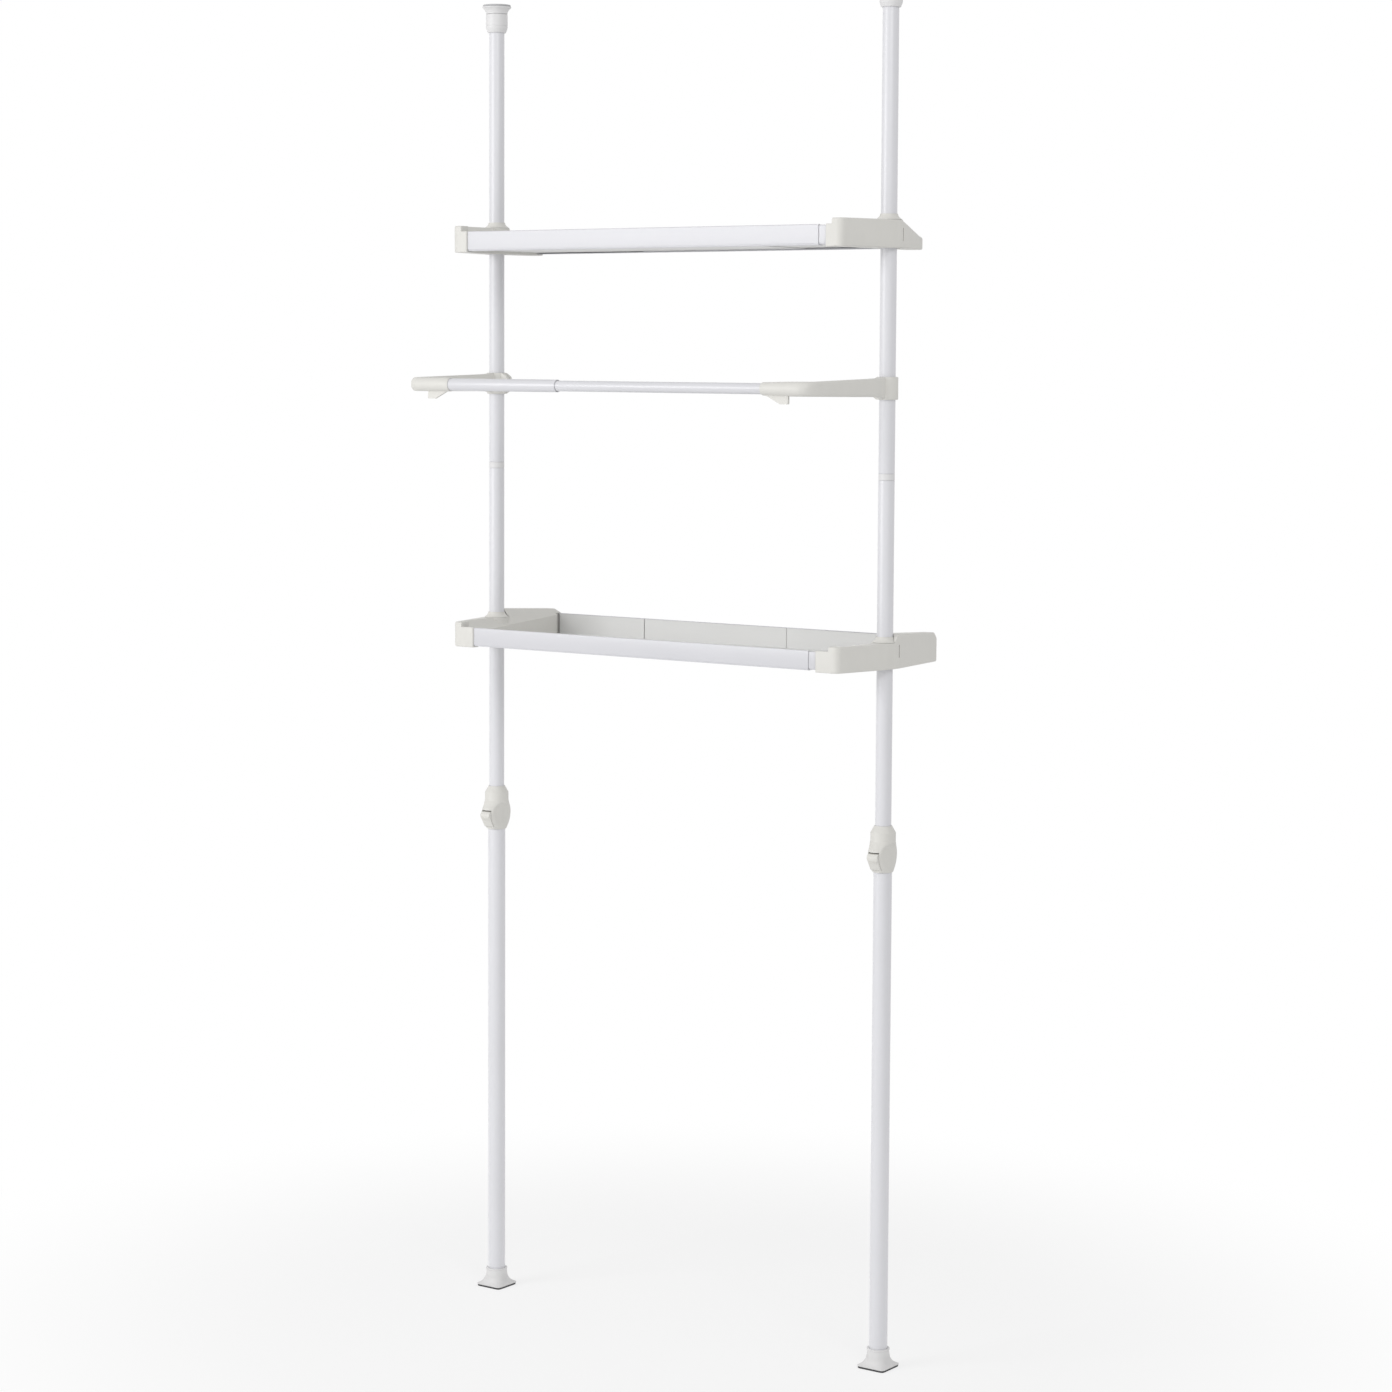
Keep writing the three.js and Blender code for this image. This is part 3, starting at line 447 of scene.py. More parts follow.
def between(start, end, shares):
    """Points between two others, at shares of the way across and up."""
    (x0, y0), (x1, y1) = start, end
    return [(x0 + (x1 - x0) * across, y0 + (y1 - y0) * up) for across, up in shares]


def rounded(points, steps):
    """An outline whose corners are arcs: each point is (x, y) or (x, y, radius)."""
    result = []
    for i, point in enumerate(points):
        before, here = Vector(points[i - 1][:2]), Vector(point[:2])
        after = Vector(points[(i + 1) % len(points)][:2])
        result += arc_corner(before, here, after, point[2] if len(point) > 2 else 0, steps)
    return result


def arc_corner(before, here, after, radius, steps):
    back, ahead = before - here, after - here
    if radius <= 0 or back.length < TINY or ahead.length < TINY:
        return [here]
    half = back.angle(ahead) / 2
    if half < SLIGHT or half > QUARTER - SLIGHT:
        return [here]
    trim = min(radius / math.tan(half), back.length / 2, ahead.length / 2)
    radius = trim * math.tan(half)
    first = here + back.normalized() * trim
    last = here + ahead.normalized() * trim
    centre = here + (back.normalized() + ahead.normalized()).normalized() * (radius / math.sin(half))
    spoke = first - centre
    turn = spoke.angle_signed(last - centre)
    points = []
    for k in range(steps + 1):
        angle = -turn * k / steps
        c, s = math.cos(angle), math.sin(angle)
        points.append(centre + Vector((spoke.x * c - spoke.y * s, spoke.x * s + spoke.y * c)))
    return points


def sheet_outline(path, bend, thickness, steps):
    """The closed outline of a folded sheet that follows an open path."""
    path = [Vector(point) for point in path]
    middle = [path[0]]
    for before, here, after in zip(path, path[1:], path[2:]):
        middle += arc_corner(before, here, after, bend, steps)
    middle.append(path[-1])
    left, right = [], []
    for i, point in enumerate(middle):
        way = (middle[min(i + 1, len(middle) - 1)] - middle[max(i - 1, 0)]).normalized()
        side = Vector((-way.y, way.x)) * thickness / 2
        left.append(point + side)
        right.append(point - side)
    return left + right[::-1]


def along_curve(stations, place):
    """The value at a place on a smooth curve through (place, value) stations."""
    last = len(stations) - 1
    i = 0
    while i < last - 1 and place > stations[i + 1][0]:
        i += 1
    (x0, y0), (x1, y1) = stations[i], stations[i + 1]
    before, after = stations[max(i - 1, 0)], stations[min(i + 2, last)]
    step = x1 - x0
    slope_in = (y1 - before[1]) / (x1 - before[0]) * step
    slope_out = (after[1] - y0) / (after[0] - x0) * step
    t = min(max((place - x0) / step, 0), 1)
    keep = (1 + 2 * t) * (1 - t) ** 2
    leave = t * (1 - t) ** 2
    arrive = t * t * (t - 1)
    return keep * y0 + (1 - keep) * y1 + leave * slope_in + arrive * slope_out


def along_line(stations, place):
    """The value at a place on straight lines through (place, value) stations."""
    for (x0, y0), (x1, y1) in zip(stations, stations[1:]):
        if place <= x1:
            t = (place - x0) / (x1 - x0) if x1 > x0 else 1
            return y0 + (y1 - y0) * max(t, 0)
    return stations[-1][1]


def eased_end(distance, radius):
    """How far a surface draws in at a distance from an end that is rounded with a radius."""
    if distance >= radius:
        return 0
    return radius - math.sqrt(radius**2 - (radius - max(distance, 0)) ** 2)


# Solids

# Only edges that turn by more than this are rounded
EDGE_ANGLE = math.radians(60)


def solid(name, mesh):
    thing = bpy.data.objects.new(name, mesh)
    bpy.context.scene.collection.objects.link(thing)
    return thing


def solid_from(name, corners, faces):
    mesh = bpy.data.meshes.new(name)
    mesh.from_pydata([tuple(corner) for corner in corners], [], faces)
    shape = bmesh.new()
    shape.from_mesh(mesh)
    bmesh.ops.remove_doubles(shape, verts=shape.verts, dist=MERGE)
    bmesh.ops.recalc_face_normals(shape, faces=shape.faces)
    shape.to_mesh(mesh)
    shape.free()
    return solid(name, mesh)


def skin(name, rings, closed_loop=False):
    """A closed skin over rings that all have the same number of points."""
    count = len(rings[0])
    faces = []
    for r in range(len(rings) if closed_loop else len(rings) - 1):
        here, there = r * count, ((r + 1) % len(rings)) * count
        for i in range(count):
            j = (i + 1) % count
            faces.append((here + i, here + j, there + j, there + i))
    if not closed_loop:
        faces.append(tuple(range(count))[::-1])
        faces.append(tuple((len(rings) - 1) * count + i for i in range(count)))
    return solid_from(name, [point for ring in rings for point in ring], faces)


def turned(name, profile, centre, segments=ROUND, slit=0.0):
    """A closed profile of (radius, height) points turned about a pole, but for a slit behind."""
    start, sweep = (QUARTER + slit, math.tau - 2 * slit) if slit else (0, math.tau)
    rings = []
    for i in range(segments + 1 if slit else segments):
        angle = start + sweep * i / segments
        c, s = math.cos(angle), math.sin(angle)
        rings.append([Vector((centre.x + r * c, centre.y + r * s, height)) for r, height in profile])
    return skin(name, rings, closed_loop=not slit)


def carried_along_x(name, outline, low, high):
    """An outline of (y, z) points carried along X."""
    return skin(name, [[Vector((x, p[0], p[1])) for p in outline] for x in (low, high)])


def carried_along_y(name, outline, low, high):
    """An outline of (x, z) points carried along Y."""
    return skin(name, [[Vector((p[0], y, p[1])) for p in outline] for y in (low, high)])


def block(name, low, high):
    ends = tuple(zip(low, high))
    corners = [(x, y, z) for x in ends[0] for y in ends[1] for z in ends[2]]
    faces = [(0, 1, 3, 2), (4, 6, 7, 5), (0, 4, 5, 1), (2, 3, 7, 6), (0, 2, 6, 4), (1, 5, 7, 3)]
    return solid_from(name, corners, faces)


def rod(name, start, end, radius, segments=HOLE_ROUND, ease=0.0):
    """A round bar between two places, with its end edges eased."""
    start, end = Vector(start), Vector(end)
    length = (end - start).length
    way = (end - start).normalized()
    side = way.orthogonal().normalized()
    other = way.cross(side)
    stations = [(0, radius), (length, radius)]
    if ease:
        stations = [(0, radius - ease), (ease, radius)]
        stations += [(length - ease, radius), (length, radius - ease)]
    turns = [math.tau * i / segments for i in range(segments)]
    rings = []
    for along, size in stations:
        spot = start + way * along
        rings.append([spot + (side * math.cos(turn) + other * math.sin(turn)) * size for turn in turns])
    return skin(name, rings)


def upright_cutter(spot, low, high, radius, segments=HOLE_ROUND):
    return rod("cutter", (spot.x, spot.y, low), (spot.x, spot.y, high), radius, segments)


def level_cutter(spot, start, end, radius, segments=HOLE_ROUND):
    """A round cutter along X."""
    return rod("cutter", (start, spot.y, spot.z), (end, spot.y, spot.z), radius, segments)


def bake(thing):
    """Turns an object's modifiers into its plain mesh."""
    graph = bpy.context.evaluated_depsgraph_get()
    graph.update()
    made = bpy.data.meshes.new_from_object(
        thing.evaluated_get(graph), preserve_all_data_layers=True, depsgraph=graph
    )
    old = thing.data
    thing.modifiers.clear()
    thing.data = made
    bpy.data.meshes.remove(old)
    return thing


def combine(thing, operation, *others):
    """Joins others to a solid, or cuts them from it."""
    for other in others:
        step = thing.modifiers.new("combine", "BOOLEAN")
        step.operation = operation
        step.solver = "EXACT"
        step.object = other
        bake(thing)
        mesh = other.data
        bpy.data.objects.remove(other)
        bpy.data.meshes.remove(mesh)


def ease_edges(thing, width, segments=3):
    """Rounds the sharp edges of a moulded or pressed part."""
    step = thing.modifiers.new("ease", "BEVEL")
    step.width = width
    step.segments = segments
    step.limit_method = "ANGLE"
    step.angle_limit = EDGE_ANGLE
    step.use_clamp_overlap = True
    step.miter_outer = "MITER_ARC"
    bake(thing)


def deliver(thing, node, finish_name, angle=32, detail=False):
    """Gives a piece its finish and its body. It stands for the frame's part, or is a detail of it."""
    mesh = thing.data
    mesh.polygons.foreach_set("use_smooth", [True] * len(mesh.polygons))
    mesh.set_sharp_from_angle(angle=math.radians(angle))
    mesh.update()
    mesh.materials.clear()
    mesh.materials.append(finish(finish_name))
    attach(thing, frame["nodes"][node]["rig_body"])
    if not detail:
        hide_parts(node)


def deliver_turned(node, side, profile, finish_name, angle=28, slit=0.0):
    """Turns a profile about a pole and delivers it."""
    piece = turned(f"{node}_turned", profile, pole_axis(side), slit=slit)
    deliver(piece, node, finish_name, angle)


# Tubes and the hanging bar

BAR_WALL_SHARE = 0.9
TUBE_EASE_SHARE = 0.45


def tube_tree(finish_name):
    """A tube whose two ends are rolled smooth: its wall's section goes round a circle."""
    vectors = {"Middle": (0, 0, 0), "Turn": (0, 0, 0)}
    tree = Tree("tube_" + finish_name, Radius=14 * MM, Wall=1.2 * MM, Length=1.0, **vectors)
    wall = tree.given("Wall")
    circle = {"Resolution": ROUND, "Radius": tree.given("Radius") - wall * 0.5}
    path = tree.node("GeometryNodeCurvePrimitiveCircle", values=circle)
    upright = tree.node("GeometryNodeSetCurveNormal", {"mode": "Z_UP"}, {"Curve": path})
    size = {"Width": wall, "Height": tree.given("Length")}
    section = tree.node("GeometryNodeCurvePrimitiveQuadrilateral", values=size)
    corner = {"Curve": section, "Count": 4, "Radius": wall * TUBE_EASE_SHARE}
    eased = tree.node("GeometryNodeFilletCurve", {"mode": "POLY"}, corner)
    tube = tree.node("GeometryNodeCurveToMesh", values={"Curve": upright, "Profile Curve": eased})
    return tree.close(tube, finish_name, Translation="Middle", Rotation="Turn")


def make_tube(tree, node, wall, finish_name, level=False):
    low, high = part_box(node)
    length, width = high.z - low.z, high.x - low.x
    if level:
        length, width = width, length
    turn = Vector((0, QUARTER if level else 0, 0))
    values = {"Radius": width / 2, "Wall": wall, "Length": length, "Middle": (low + high) / 2}
    deliver(tree.grow(f"{node}_skin", Turn=turn, **values), node, finish_name)


class RACK_OT_tubes(bpy.types.Operator):
    """Make the pole tubes, each with rolled ends"""

    bl_idname = "rack.tubes"
    bl_label = "Tubes"

    def execute(self, context):
        tree = tube_tree("tube")
        for side in SIDES:
            for part in ("lower_tube", "middle_tube", "upper_tube"):
                make_tube(tree, f"{side}_{part}", context.scene.rack_sizes.tube_wall, "tube")
        return {"FINISHED"}


class RACK_OT_hanging_bar(bpy.types.Operator):
    """Make the two halves of the telescopic hanging bar"""

    bl_idname = "rack.hanging_bar"
    bl_label = "Hanging bar"

    def execute(self, context):
        tree = tube_tree("bar")
        wall = context.scene.rack_sizes.tube_wall * BAR_WALL_SHARE
        for part in ("outer_bar", "inner_bar"):
            make_tube(tree, f"hanger_{part}", wall, "bar", level=True)
        return {"FINISHED"}


# Feet

FOOT_NECK = 19.4 * MM
FOOT_LIP = 20 * MM
FOOT_LIP_HEIGHT = 3.2 * MM
FOOT_CORNER = 6 * MM
FOOT_PLATE = 2.6 * MM
FOOT_EASE = 0.6 * MM
FOOT_PLAY = 0.35 * MM
# How far the tube's seat lies above the foot's underside
FOOT_SEAT = 4.8 * MM
FOOT_STEPS = 22
# How far towards the round neck the plate's upper edge already is
FOOT_EDGE_SHARE = 0.02
FOOT_CORNER_SHARE = 0.6
# Powers that make the flare turn round early and climb late
FLARE_TURN = 2.4
FLARE_CLIMB = 1.25
SOLE_CORNER = 5.5 * MM
TREADS = 9
TREAD_MARGIN = 1.2 * MM
TREAD_PITCH = 2.8 * MM
TREAD_DEPTH = 0.7 * MM
# A tread's corner as a share of its distance from the edge, and the most that its size allows
TREAD_GROWTH_SHARE = 0.8
TREAD_CORNER_SHARE = 0.98
GROOVE_CORNER_SHARE = 0.9


def ring_angles(count):
    return [math.tau * (i + 0.5) / count for i in range(count)]


def square_point(angle, half, corner):
    """The point at an angle on a square with round corners."""
    core = half - corner
    x, y = math.cos(angle), math.sin(angle)
    spot = Vector((x, y)) * (half / max(abs(x), abs(y)))
    inner = Vector((min(max(spot.x, -core), core), min(max(spot.y, -core), core)))
    out = spot - inner
    return spot if out.length < TINY else inner + out.normalized() * corner


def flared_ring(centre, height, half, corner, neck, share):
    """A ring between a square with round corners (share 0) and a circle (share 1)."""
    ring = []
    for angle in ring_angles(ROUND):
        circle = Vector((math.cos(angle), math.sin(angle))) * neck
        spot = square_point(angle, half, corner).lerp(circle, share)
        ring.append(Vector((centre.x + spot.x, centre.y + spot.y, height)))
    return ring


class RACK_OT_feet(bpy.types.Operator):
    """Make the flared feet and their rubber soles"""

    bl_idname = "rack.feet"
    bl_label = "Feet"

    def execute(self, context):
        for side in SIDES:
            self.make_foot(side)
            self.make_sole(side)
        return {"FINISHED"}

    def make_foot(self, side):
        node = f"{side}_foot"
        low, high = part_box(node)
        centre = pole_axis(side)
        half = radius_of(node)
        plate_top = low.z + FOOT_PLATE
        rim = high.z - FOOT_LIP_HEIGHT
        edge = near(half, low.z, (-0.8, 0), (-0.25, 0.3), (0, 0.8)) + [(half, plate_top - FOOT_EASE)]
        rings = [flared_ring(centre, up, size, FOOT_CORNER, FOOT_NECK, 0) for size, up in edge]
        spread = half - FOOT_EASE
        rings.append(flared_ring(centre, plate_top, spread, FOOT_CORNER, FOOT_NECK, FOOT_EDGE_SHARE))
        for k in range(1, FOOT_STEPS + 1):
            rise = k / FOOT_STEPS
            share = 1 - (1 - rise) ** FLARE_TURN
            corner = FOOT_CORNER + (spread - FOOT_CORNER) * FOOT_CORNER_SHARE * share
            height = plate_top + (rim - plate_top) * rise**FLARE_CLIMB
            rings.append(flared_ring(centre, height, spread, corner, FOOT_NECK, share))
        bore = radius_of(f"{side}_lower_tube") + FOOT_PLAY
        lip = near(FOOT_LIP, rim, (-0.25, 0.15), (0, 0.6))
        lip += near(FOOT_LIP, high.z, (0, -0.7), (-0.3, -0.2), (-0.8, 0))
        lip += near(bore, high.z, (0.7, 0), (0.2, -0.2), (0, -0.7)) + [(bore, low.z + FOOT_SEAT)]
        rings += [flared_ring(centre, height, half, FOOT_CORNER, size, 1) for size, height in lip]
        deliver(skin(f"{node}_moulding", rings), node, "foot", angle=30)

    def make_sole(self, side):
        node = f"{side}_foot_sole"
        low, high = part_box(node)
        centre = pole_axis(side)
        half = radius_of(node)
        edge = near(half, high.z, (-0.5, 0), (0, -0.5)) + near(half, low.z, (0, 0.6), (-0.6, 0))
        rings = [flared_ring(centre, height, size, SOLE_CORNER, half, 0) for size, height in edge]
        for k in range(TREADS):
            outer = half - TREAD_MARGIN - k * TREAD_PITCH
            corner = min(max(SOLE_CORNER, (half - outer) * TREAD_GROWTH_SHARE), outer * TREAD_CORNER_SHARE)
            tight = min(corner, outer * GROOVE_CORNER_SHARE)
            groove = near(outer, low.z + TREAD_DEPTH, (-0.4, 0), (-1.1, 0)) + near(outer, low.z, (-1.5, 0))
            rings.append(flared_ring(centre, low.z, outer, corner, outer, k / TREADS))
            rings += [flared_ring(centre, up, size, tight, size, k / TREADS) for size, up in groove]
        deliver(skin(f"{node}_tread", rings), node, "rubber", angle=30)


# Height locks

LOCK_CONE = 11 * MM
LOCK_COLLAR = 15 * MM
LOCK_COLLAR_RADIUS = 22 * MM
LOCK_SKIRT_RADIUS = 17.5 * MM
LOCK_TOP_RADIUS = 15.2 * MM
LOCK_STEPS = 60
# The foot's rounded edge in millimetres: height, and how far in
LOCK_FOOT_EDGE = ((0, 0.7), (0.25, 0.2))
# How far the lock body has swelled from its round skirt, from its foot up to its collar
LOCK_SWELL_SHARES = (
    (0.00, 0.00),
    (0.05, 0.24),
    (0.14, 0.52),
    (0.28, 0.81),
    (0.42, 0.96),
    (0.56, 1.00),
    (0.72, 0.82),
    (0.86, 0.42),
    (1.00, 0.00),
)
LOCK_BLUNT_SHARE = 0.15
# Higher values make the edges between cheeks and swell crisper
LOCK_CRISPNESS = 110
# The flat cheeks' plan on one side in millimetres, from front to back
CHEEK_PLAN = ((12.5, -36.3), (17, -7.2), (17, 13.9), (9, 38))
# The cheeks are upright up to this share of the height, and spread above it
CHEEK_UPRIGHT_SHARE = 0.8
CHEEK_SPREAD = 9.5 * MM
CHEEK_SPREAD_POWER = 1.6
# A cheek that faces an angle by no more than this doesn't limit the reach there
LEAST_FACING = 0.01
LOCK_PLAY = 0.4 * MM
# The cheeks hide the pin's ends behind this much plastic
PIN_COVER = 2 * MM
PIN_HOLE_RADIUS = 2.3 * MM
PIN_EASE = 0.5 * MM
POCKET_DEPTH = 7.3 * MM
POCKET_TOP = 9.1 * MM
POCKET_CORNER = 5 * MM
LEVER_HEAD = 7 * MM
LEVER_HEAD_ARC = (math.radians(124), math.radians(-72))
LEVER_HEAD_STEPS = 28
LEVER_EASE = 0.9 * MM
# The handle below the head in millimetres: behind and above the pin, with each corner's radius
LEVER_HANDLE = (
    (2.8, -11, 5),
    (6.0, -21.9, 1),
    (3.0, -21.9, 1),
    (-4.0, -10, 7),
    (-9.0, -3.0, 5),
    (-8.4, 2.4, 1),
    (-5.6, 6.7, 1),
)
RIB_LENGTH_SHARE = 0.72
RIB_RADIUS = 0.75 * MM
RIB_START = (-7.6 * MM, -4.8 * MM)
RIB_STEP = (1.12 * MM, -1.5 * MM)


def rib_tree(finish_name):
    """A row of round ribs, set out along a line."""
    vectors = {"Start": (0, 0, 0), "Step": (0, 0, 0), "Turn": (0, 0, 0)}
    tree = Tree("ribs_" + finish_name, Count=4, Length=16 * MM, Radius=0.8 * MM, **vectors)
    row = {"Count": tree.given("Count"), "Start Location": tree.given("Start")}
    row["Offset"] = tree.given("Step")
    line = tree.node("GeometryNodeMeshLine", {"mode": "OFFSET"}, row)
    size = {"Vertices": 16, "Radius": tree.given("Radius"), "Depth": tree.given("Length")}
    rib = tree.node("GeometryNodeMeshCylinder", values=size)
    places = {"Points": line, "Instance": rib, "Rotation": tree.given("Turn")}
    return tree.close(tree.node("GeometryNodeInstanceOnPoints", values=places), finish_name)


def lock_reach(angle, half, reach, blunt, spread):
    """How far the lock body reaches from its axis at an angle: the nearest of swell and cheeks."""
    c, s = abs(math.cos(angle)), math.sin(angle)
    power = 2 / blunt
    reached = [((c / half) ** power + (abs(s) / reach) ** power) ** (-1 / power)]
    plan = [(x * MM, y * MM) for x, y in CHEEK_PLAN]
    for (x0, y0), (x1, y1) in zip(plan, plan[1:]):
        out = Vector((y1 - y0, x0 - x1)).normalized()
        facing = out.x * c + out.y * s
        if facing > LEAST_FACING:
            reached.append((out.x * (x0 + spread) + out.y * y0) / facing)
    nearest = min(reached)
    total = sum((nearest / value) ** LOCK_CRISPNESS for value in reached)
    return nearest * total ** (-1 / LOCK_CRISPNESS)


def lock_radius(share, front, back, inset=0):
    """The lock body's radius by angle, at a share of the height from its foot to its collar."""
    swell = min(max(along_curve(LOCK_SWELL_SHARES, share), 0), 1)
    half = LOCK_SKIRT_RADIUS + (LOCK_COLLAR_RADIUS - LOCK_SKIRT_RADIUS) * share
    rise = (share - CHEEK_UPRIGHT_SHARE) / (1 - CHEEK_UPRIGHT_SHARE)
    spread = CHEEK_SPREAD * min(max(0, rise), 1) ** CHEEK_SPREAD_POWER

    def radius_at(angle):
        forward = math.sin(angle) < 0
        reach = half + ((front if forward else back) - half) * swell
        blunt = 1 - LOCK_BLUNT_SHARE * swell if forward else 1
        return lock_reach(angle, half, reach, blunt, spread) - inset

    return radius_at


def lock_ring(centre, height, radius_at):
    """A ring about the pole whose radius depends on the angle."""
    ring = []
    for angle in ring_angles(ROUND):
        radius = radius_at(angle)
        x, y = centre.x + radius * math.cos(angle), centre.y + radius * math.sin(angle)
        ring.append(Vector((x, y, height)))
    return ring


class RACK_OT_locks(bpy.types.Operator):
    """Make the height locks: body, lever with finger ribs, pin and brake shoe"""

    bl_idname = "rack.locks"
    bl_label = "Height locks"

    def execute(self, context):
        ribs = rib_tree("plastic")
        for side in SIDES:
            self.make_body(side)
            self.make_lever(side, ribs, context.scene.rack_sizes.grip_ribs)
            self.make_pin(side)
            shoe = frame["nodes"][f"{side}_brake_shoe"]
            shoe.data.materials.clear()
            shoe.data.materials.append(finish("rubber"))
        return {"FINISHED"}

    def make_body(self, side):
        node = f"{side}_lock_body"
        low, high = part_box(node)
        centre = pole_axis(side)
        shoulder = high.z - LOCK_CONE
        rise = shoulder - LOCK_COLLAR - low.z
        reaches = (centre.y - low.y, high.y - centre.y)
        rings = []
        for up, inset in LOCK_FOOT_EDGE:
            rings.append(lock_ring(centre, low.z + up * MM, lock_radius(0, *reaches, inset * MM)))
        for k in range(1, LOCK_STEPS + 1):
            share = k / LOCK_STEPS
            rings.append(lock_ring(centre, low.z + rise * share, lock_radius(share, *reaches)))
        cone = near(LOCK_COLLAR_RADIUS, shoulder, (0, -1.0), (-0.15, -0.45), (-0.6, 0.2))
        cone += near(LOCK_TOP_RADIUS, high.z, (0.45, -0.7), (0.1, -0.25), (-0.4, 0))
        rings += [lock_ring(centre, height, lambda angle, size=size: size) for size, height in cone]
        body = skin(f"{node}_moulding", rings)
        combine(body, "DIFFERENCE", *self.bores(side, low, high), *self.lever_space(side, low))
        deliver(body, node, "plastic", angle=34)

    def bores(self, side, low, high):
        """Cutters for the two tubes, the wider one up to its seat."""
        centre = pole_axis(side)
        foot = low.z - LONG_OVERRUN
        lower, middle = f"{side}_lower_tube", f"{side}_middle_tube"
        ends = ((lower, high_of(lower).z + LOCK_PLAY), (middle, high.z + LONG_OVERRUN))
        for tube, top in ends:
            yield upright_cutter(centre, foot, top, radius_of(tube) + LOCK_PLAY, BORE_ROUND)

    def lever_space(self, side, low):
        """Cutters for the lever's pocket, the brake shoe's window and the pin's hole."""
        centre = pole_axis(side)
        pin_low, pin_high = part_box(f"{side}_lever_pin")
        pin = (pin_low + pin_high) / 2
        half = radius_of(f"{side}_lock_lever") + LOCK_PLAY
        back, top = pin.y + POCKET_DEPTH, pin.z + POCKET_TOP
        front, foot = low.y - LONG_OVERRUN, low.z - LONG_OVERRUN
        corners = [(front, foot), (back, foot), (back, top, POCKET_CORNER), (front, top)]
        pocket = rounded(corners, steps=10)
        yield carried_along_x("cutter", pocket, centre.x - half, centre.x + half)
        shoe_low, shoe_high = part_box(f"{side}_brake_shoe")
        first = (shoe_low.x - LOCK_PLAY, pin.y, shoe_low.z - LOCK_PLAY)
        last = (shoe_high.x + LOCK_PLAY, centre.y, shoe_high.z + LOCK_PLAY)
        yield block("cutter", first, last)
        inset = PIN_COVER - LOCK_PLAY
        yield level_cutter(pin, pin_low.x + inset, pin_high.x - inset, PIN_HOLE_RADIUS)

    def make_lever(self, side, ribs, count):
        node = f"{side}_lock_lever"
        low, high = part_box(node)
        pin = middle_of(f"{side}_lever_pin")
        first, last = LEVER_HEAD_ARC
        outline = []
        for k in range(LEVER_HEAD_STEPS + 1):
            angle = first + (last - first) * k / LEVER_HEAD_STEPS
            outline.append((pin.y + LEVER_HEAD * math.cos(angle), pin.z + LEVER_HEAD * math.sin(angle)))
        corners = [(pin.y + y * MM, pin.z + z * MM, radius * MM) for y, z, radius in LEVER_HANDLE]
        outline += rounded([outline[-1], *corners, outline[0]], steps=7)[1:-1]
        lever = carried_along_x(f"{node}_moulding", outline, low.x, high.x)
        ease_edges(lever, LEVER_EASE)
        ends = (low.x - LONG_OVERRUN, high.x + LONG_OVERRUN)
        combine(lever, "DIFFERENCE", level_cutter(pin, *ends, PIN_HOLE_RADIUS))
        deliver(lever, node, "plastic", angle=34)
        start = Vector((pole_axis(side).x, pin.y + RIB_START[0], pin.z + RIB_START[1]))
        values = {"Count": count, "Length": (high.x - low.x) * RIB_LENGTH_SHARE, "Radius": RIB_RADIUS}
        ways = {"Start": start, "Step": Vector((0, *RIB_STEP)), "Turn": Vector((0, QUARTER, 0))}
        deliver(ribs.grow(f"{node}_ribs", **values, **ways), node, "plastic", detail=True)

    def make_pin(self, side):
        node = f"{side}_lever_pin"
        low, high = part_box(node)
        middle = (low + high) / 2
        start = (low.x + PIN_COVER, middle.y, middle.z)
        end = (high.x - PIN_COVER, middle.y, middle.z)
        piece = rod(f"{node}_turned", start, end, (high.z - low.z) / 2, ease=PIN_EASE)
        deliver(piece, node, "steel")


# Tube connectors

CONNECTOR_SEAM = 0.25 * MM
CONNECTOR_INNER = 12.5 * MM
CONNECTOR_BORE = 10.5 * MM


class RACK_OT_connectors(bpy.types.Operator):
    """Make the bands that join the two upper tubes of each pole"""

    bl_idname = "rack.connectors"
    bl_label = "Tube connectors"

    def execute(self, context):
        for side in SIDES:
            self.make_connector(side)
        return {"FINISHED"}

    def make_connector(self, side):
        node = f"{side}_tube_connector"
        low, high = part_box(node)
        band_low = high_of(f"{side}_middle_tube").z + CONNECTOR_SEAM
        band_high = low_of(f"{side}_upper_tube").z - CONNECTOR_SEAM
        radius = radius_of(node)
        profile = [(CONNECTOR_BORE, low.z), *near(CONNECTOR_INNER, low.z, (-0.8, 0), (0, 1.5))]
        profile += [(CONNECTOR_INNER, band_low), *near(radius, band_low, (-0.5, 0), (0, 0.5))]
        profile += [*near(radius, band_high, (0, -0.5), (-0.5, 0)), (CONNECTOR_INNER, band_high)]
        profile += [*near(CONNECTOR_INNER, high.z, (0, -1.5), (-0.8, 0)), (CONNECTOR_BORE, high.z)]
        deliver_turned(node, side, profile, "jack", angle=30)


# Ceiling jacks

JACK_FOOT_RADIUS = 17 * MM
JACK_STEM_BORE = 10.4 * MM
JACK_SEAT = 8 * MM
JACK_SEAM = 12.4 * MM
BELL_STEPS = 9
BELL_TOP = 11.2 * MM
BELL_POWER = 1.2
CAP_GAP = 0.3 * MM
CAP_RIM = 2.2 * MM
CAP_STEPS = 16
# The power of the hollow flares of cap and sleeve
FLARE_POWER = 2.1
STEM_RADIUS = 8.9 * MM
THREAD_DEPTH = 0.85 * MM
THREAD_LIFT = 0.15 * MM
THREAD_FOOT = 2.5 * MM
# How much of the stem under the cap has no thread
THREAD_SHORT = 4 * MM
PAD_GROOVE_START = 2.6 * MM
PAD_GROOVE_PITCH = 3.8 * MM
PAD_GROOVE_END = 5 * MM


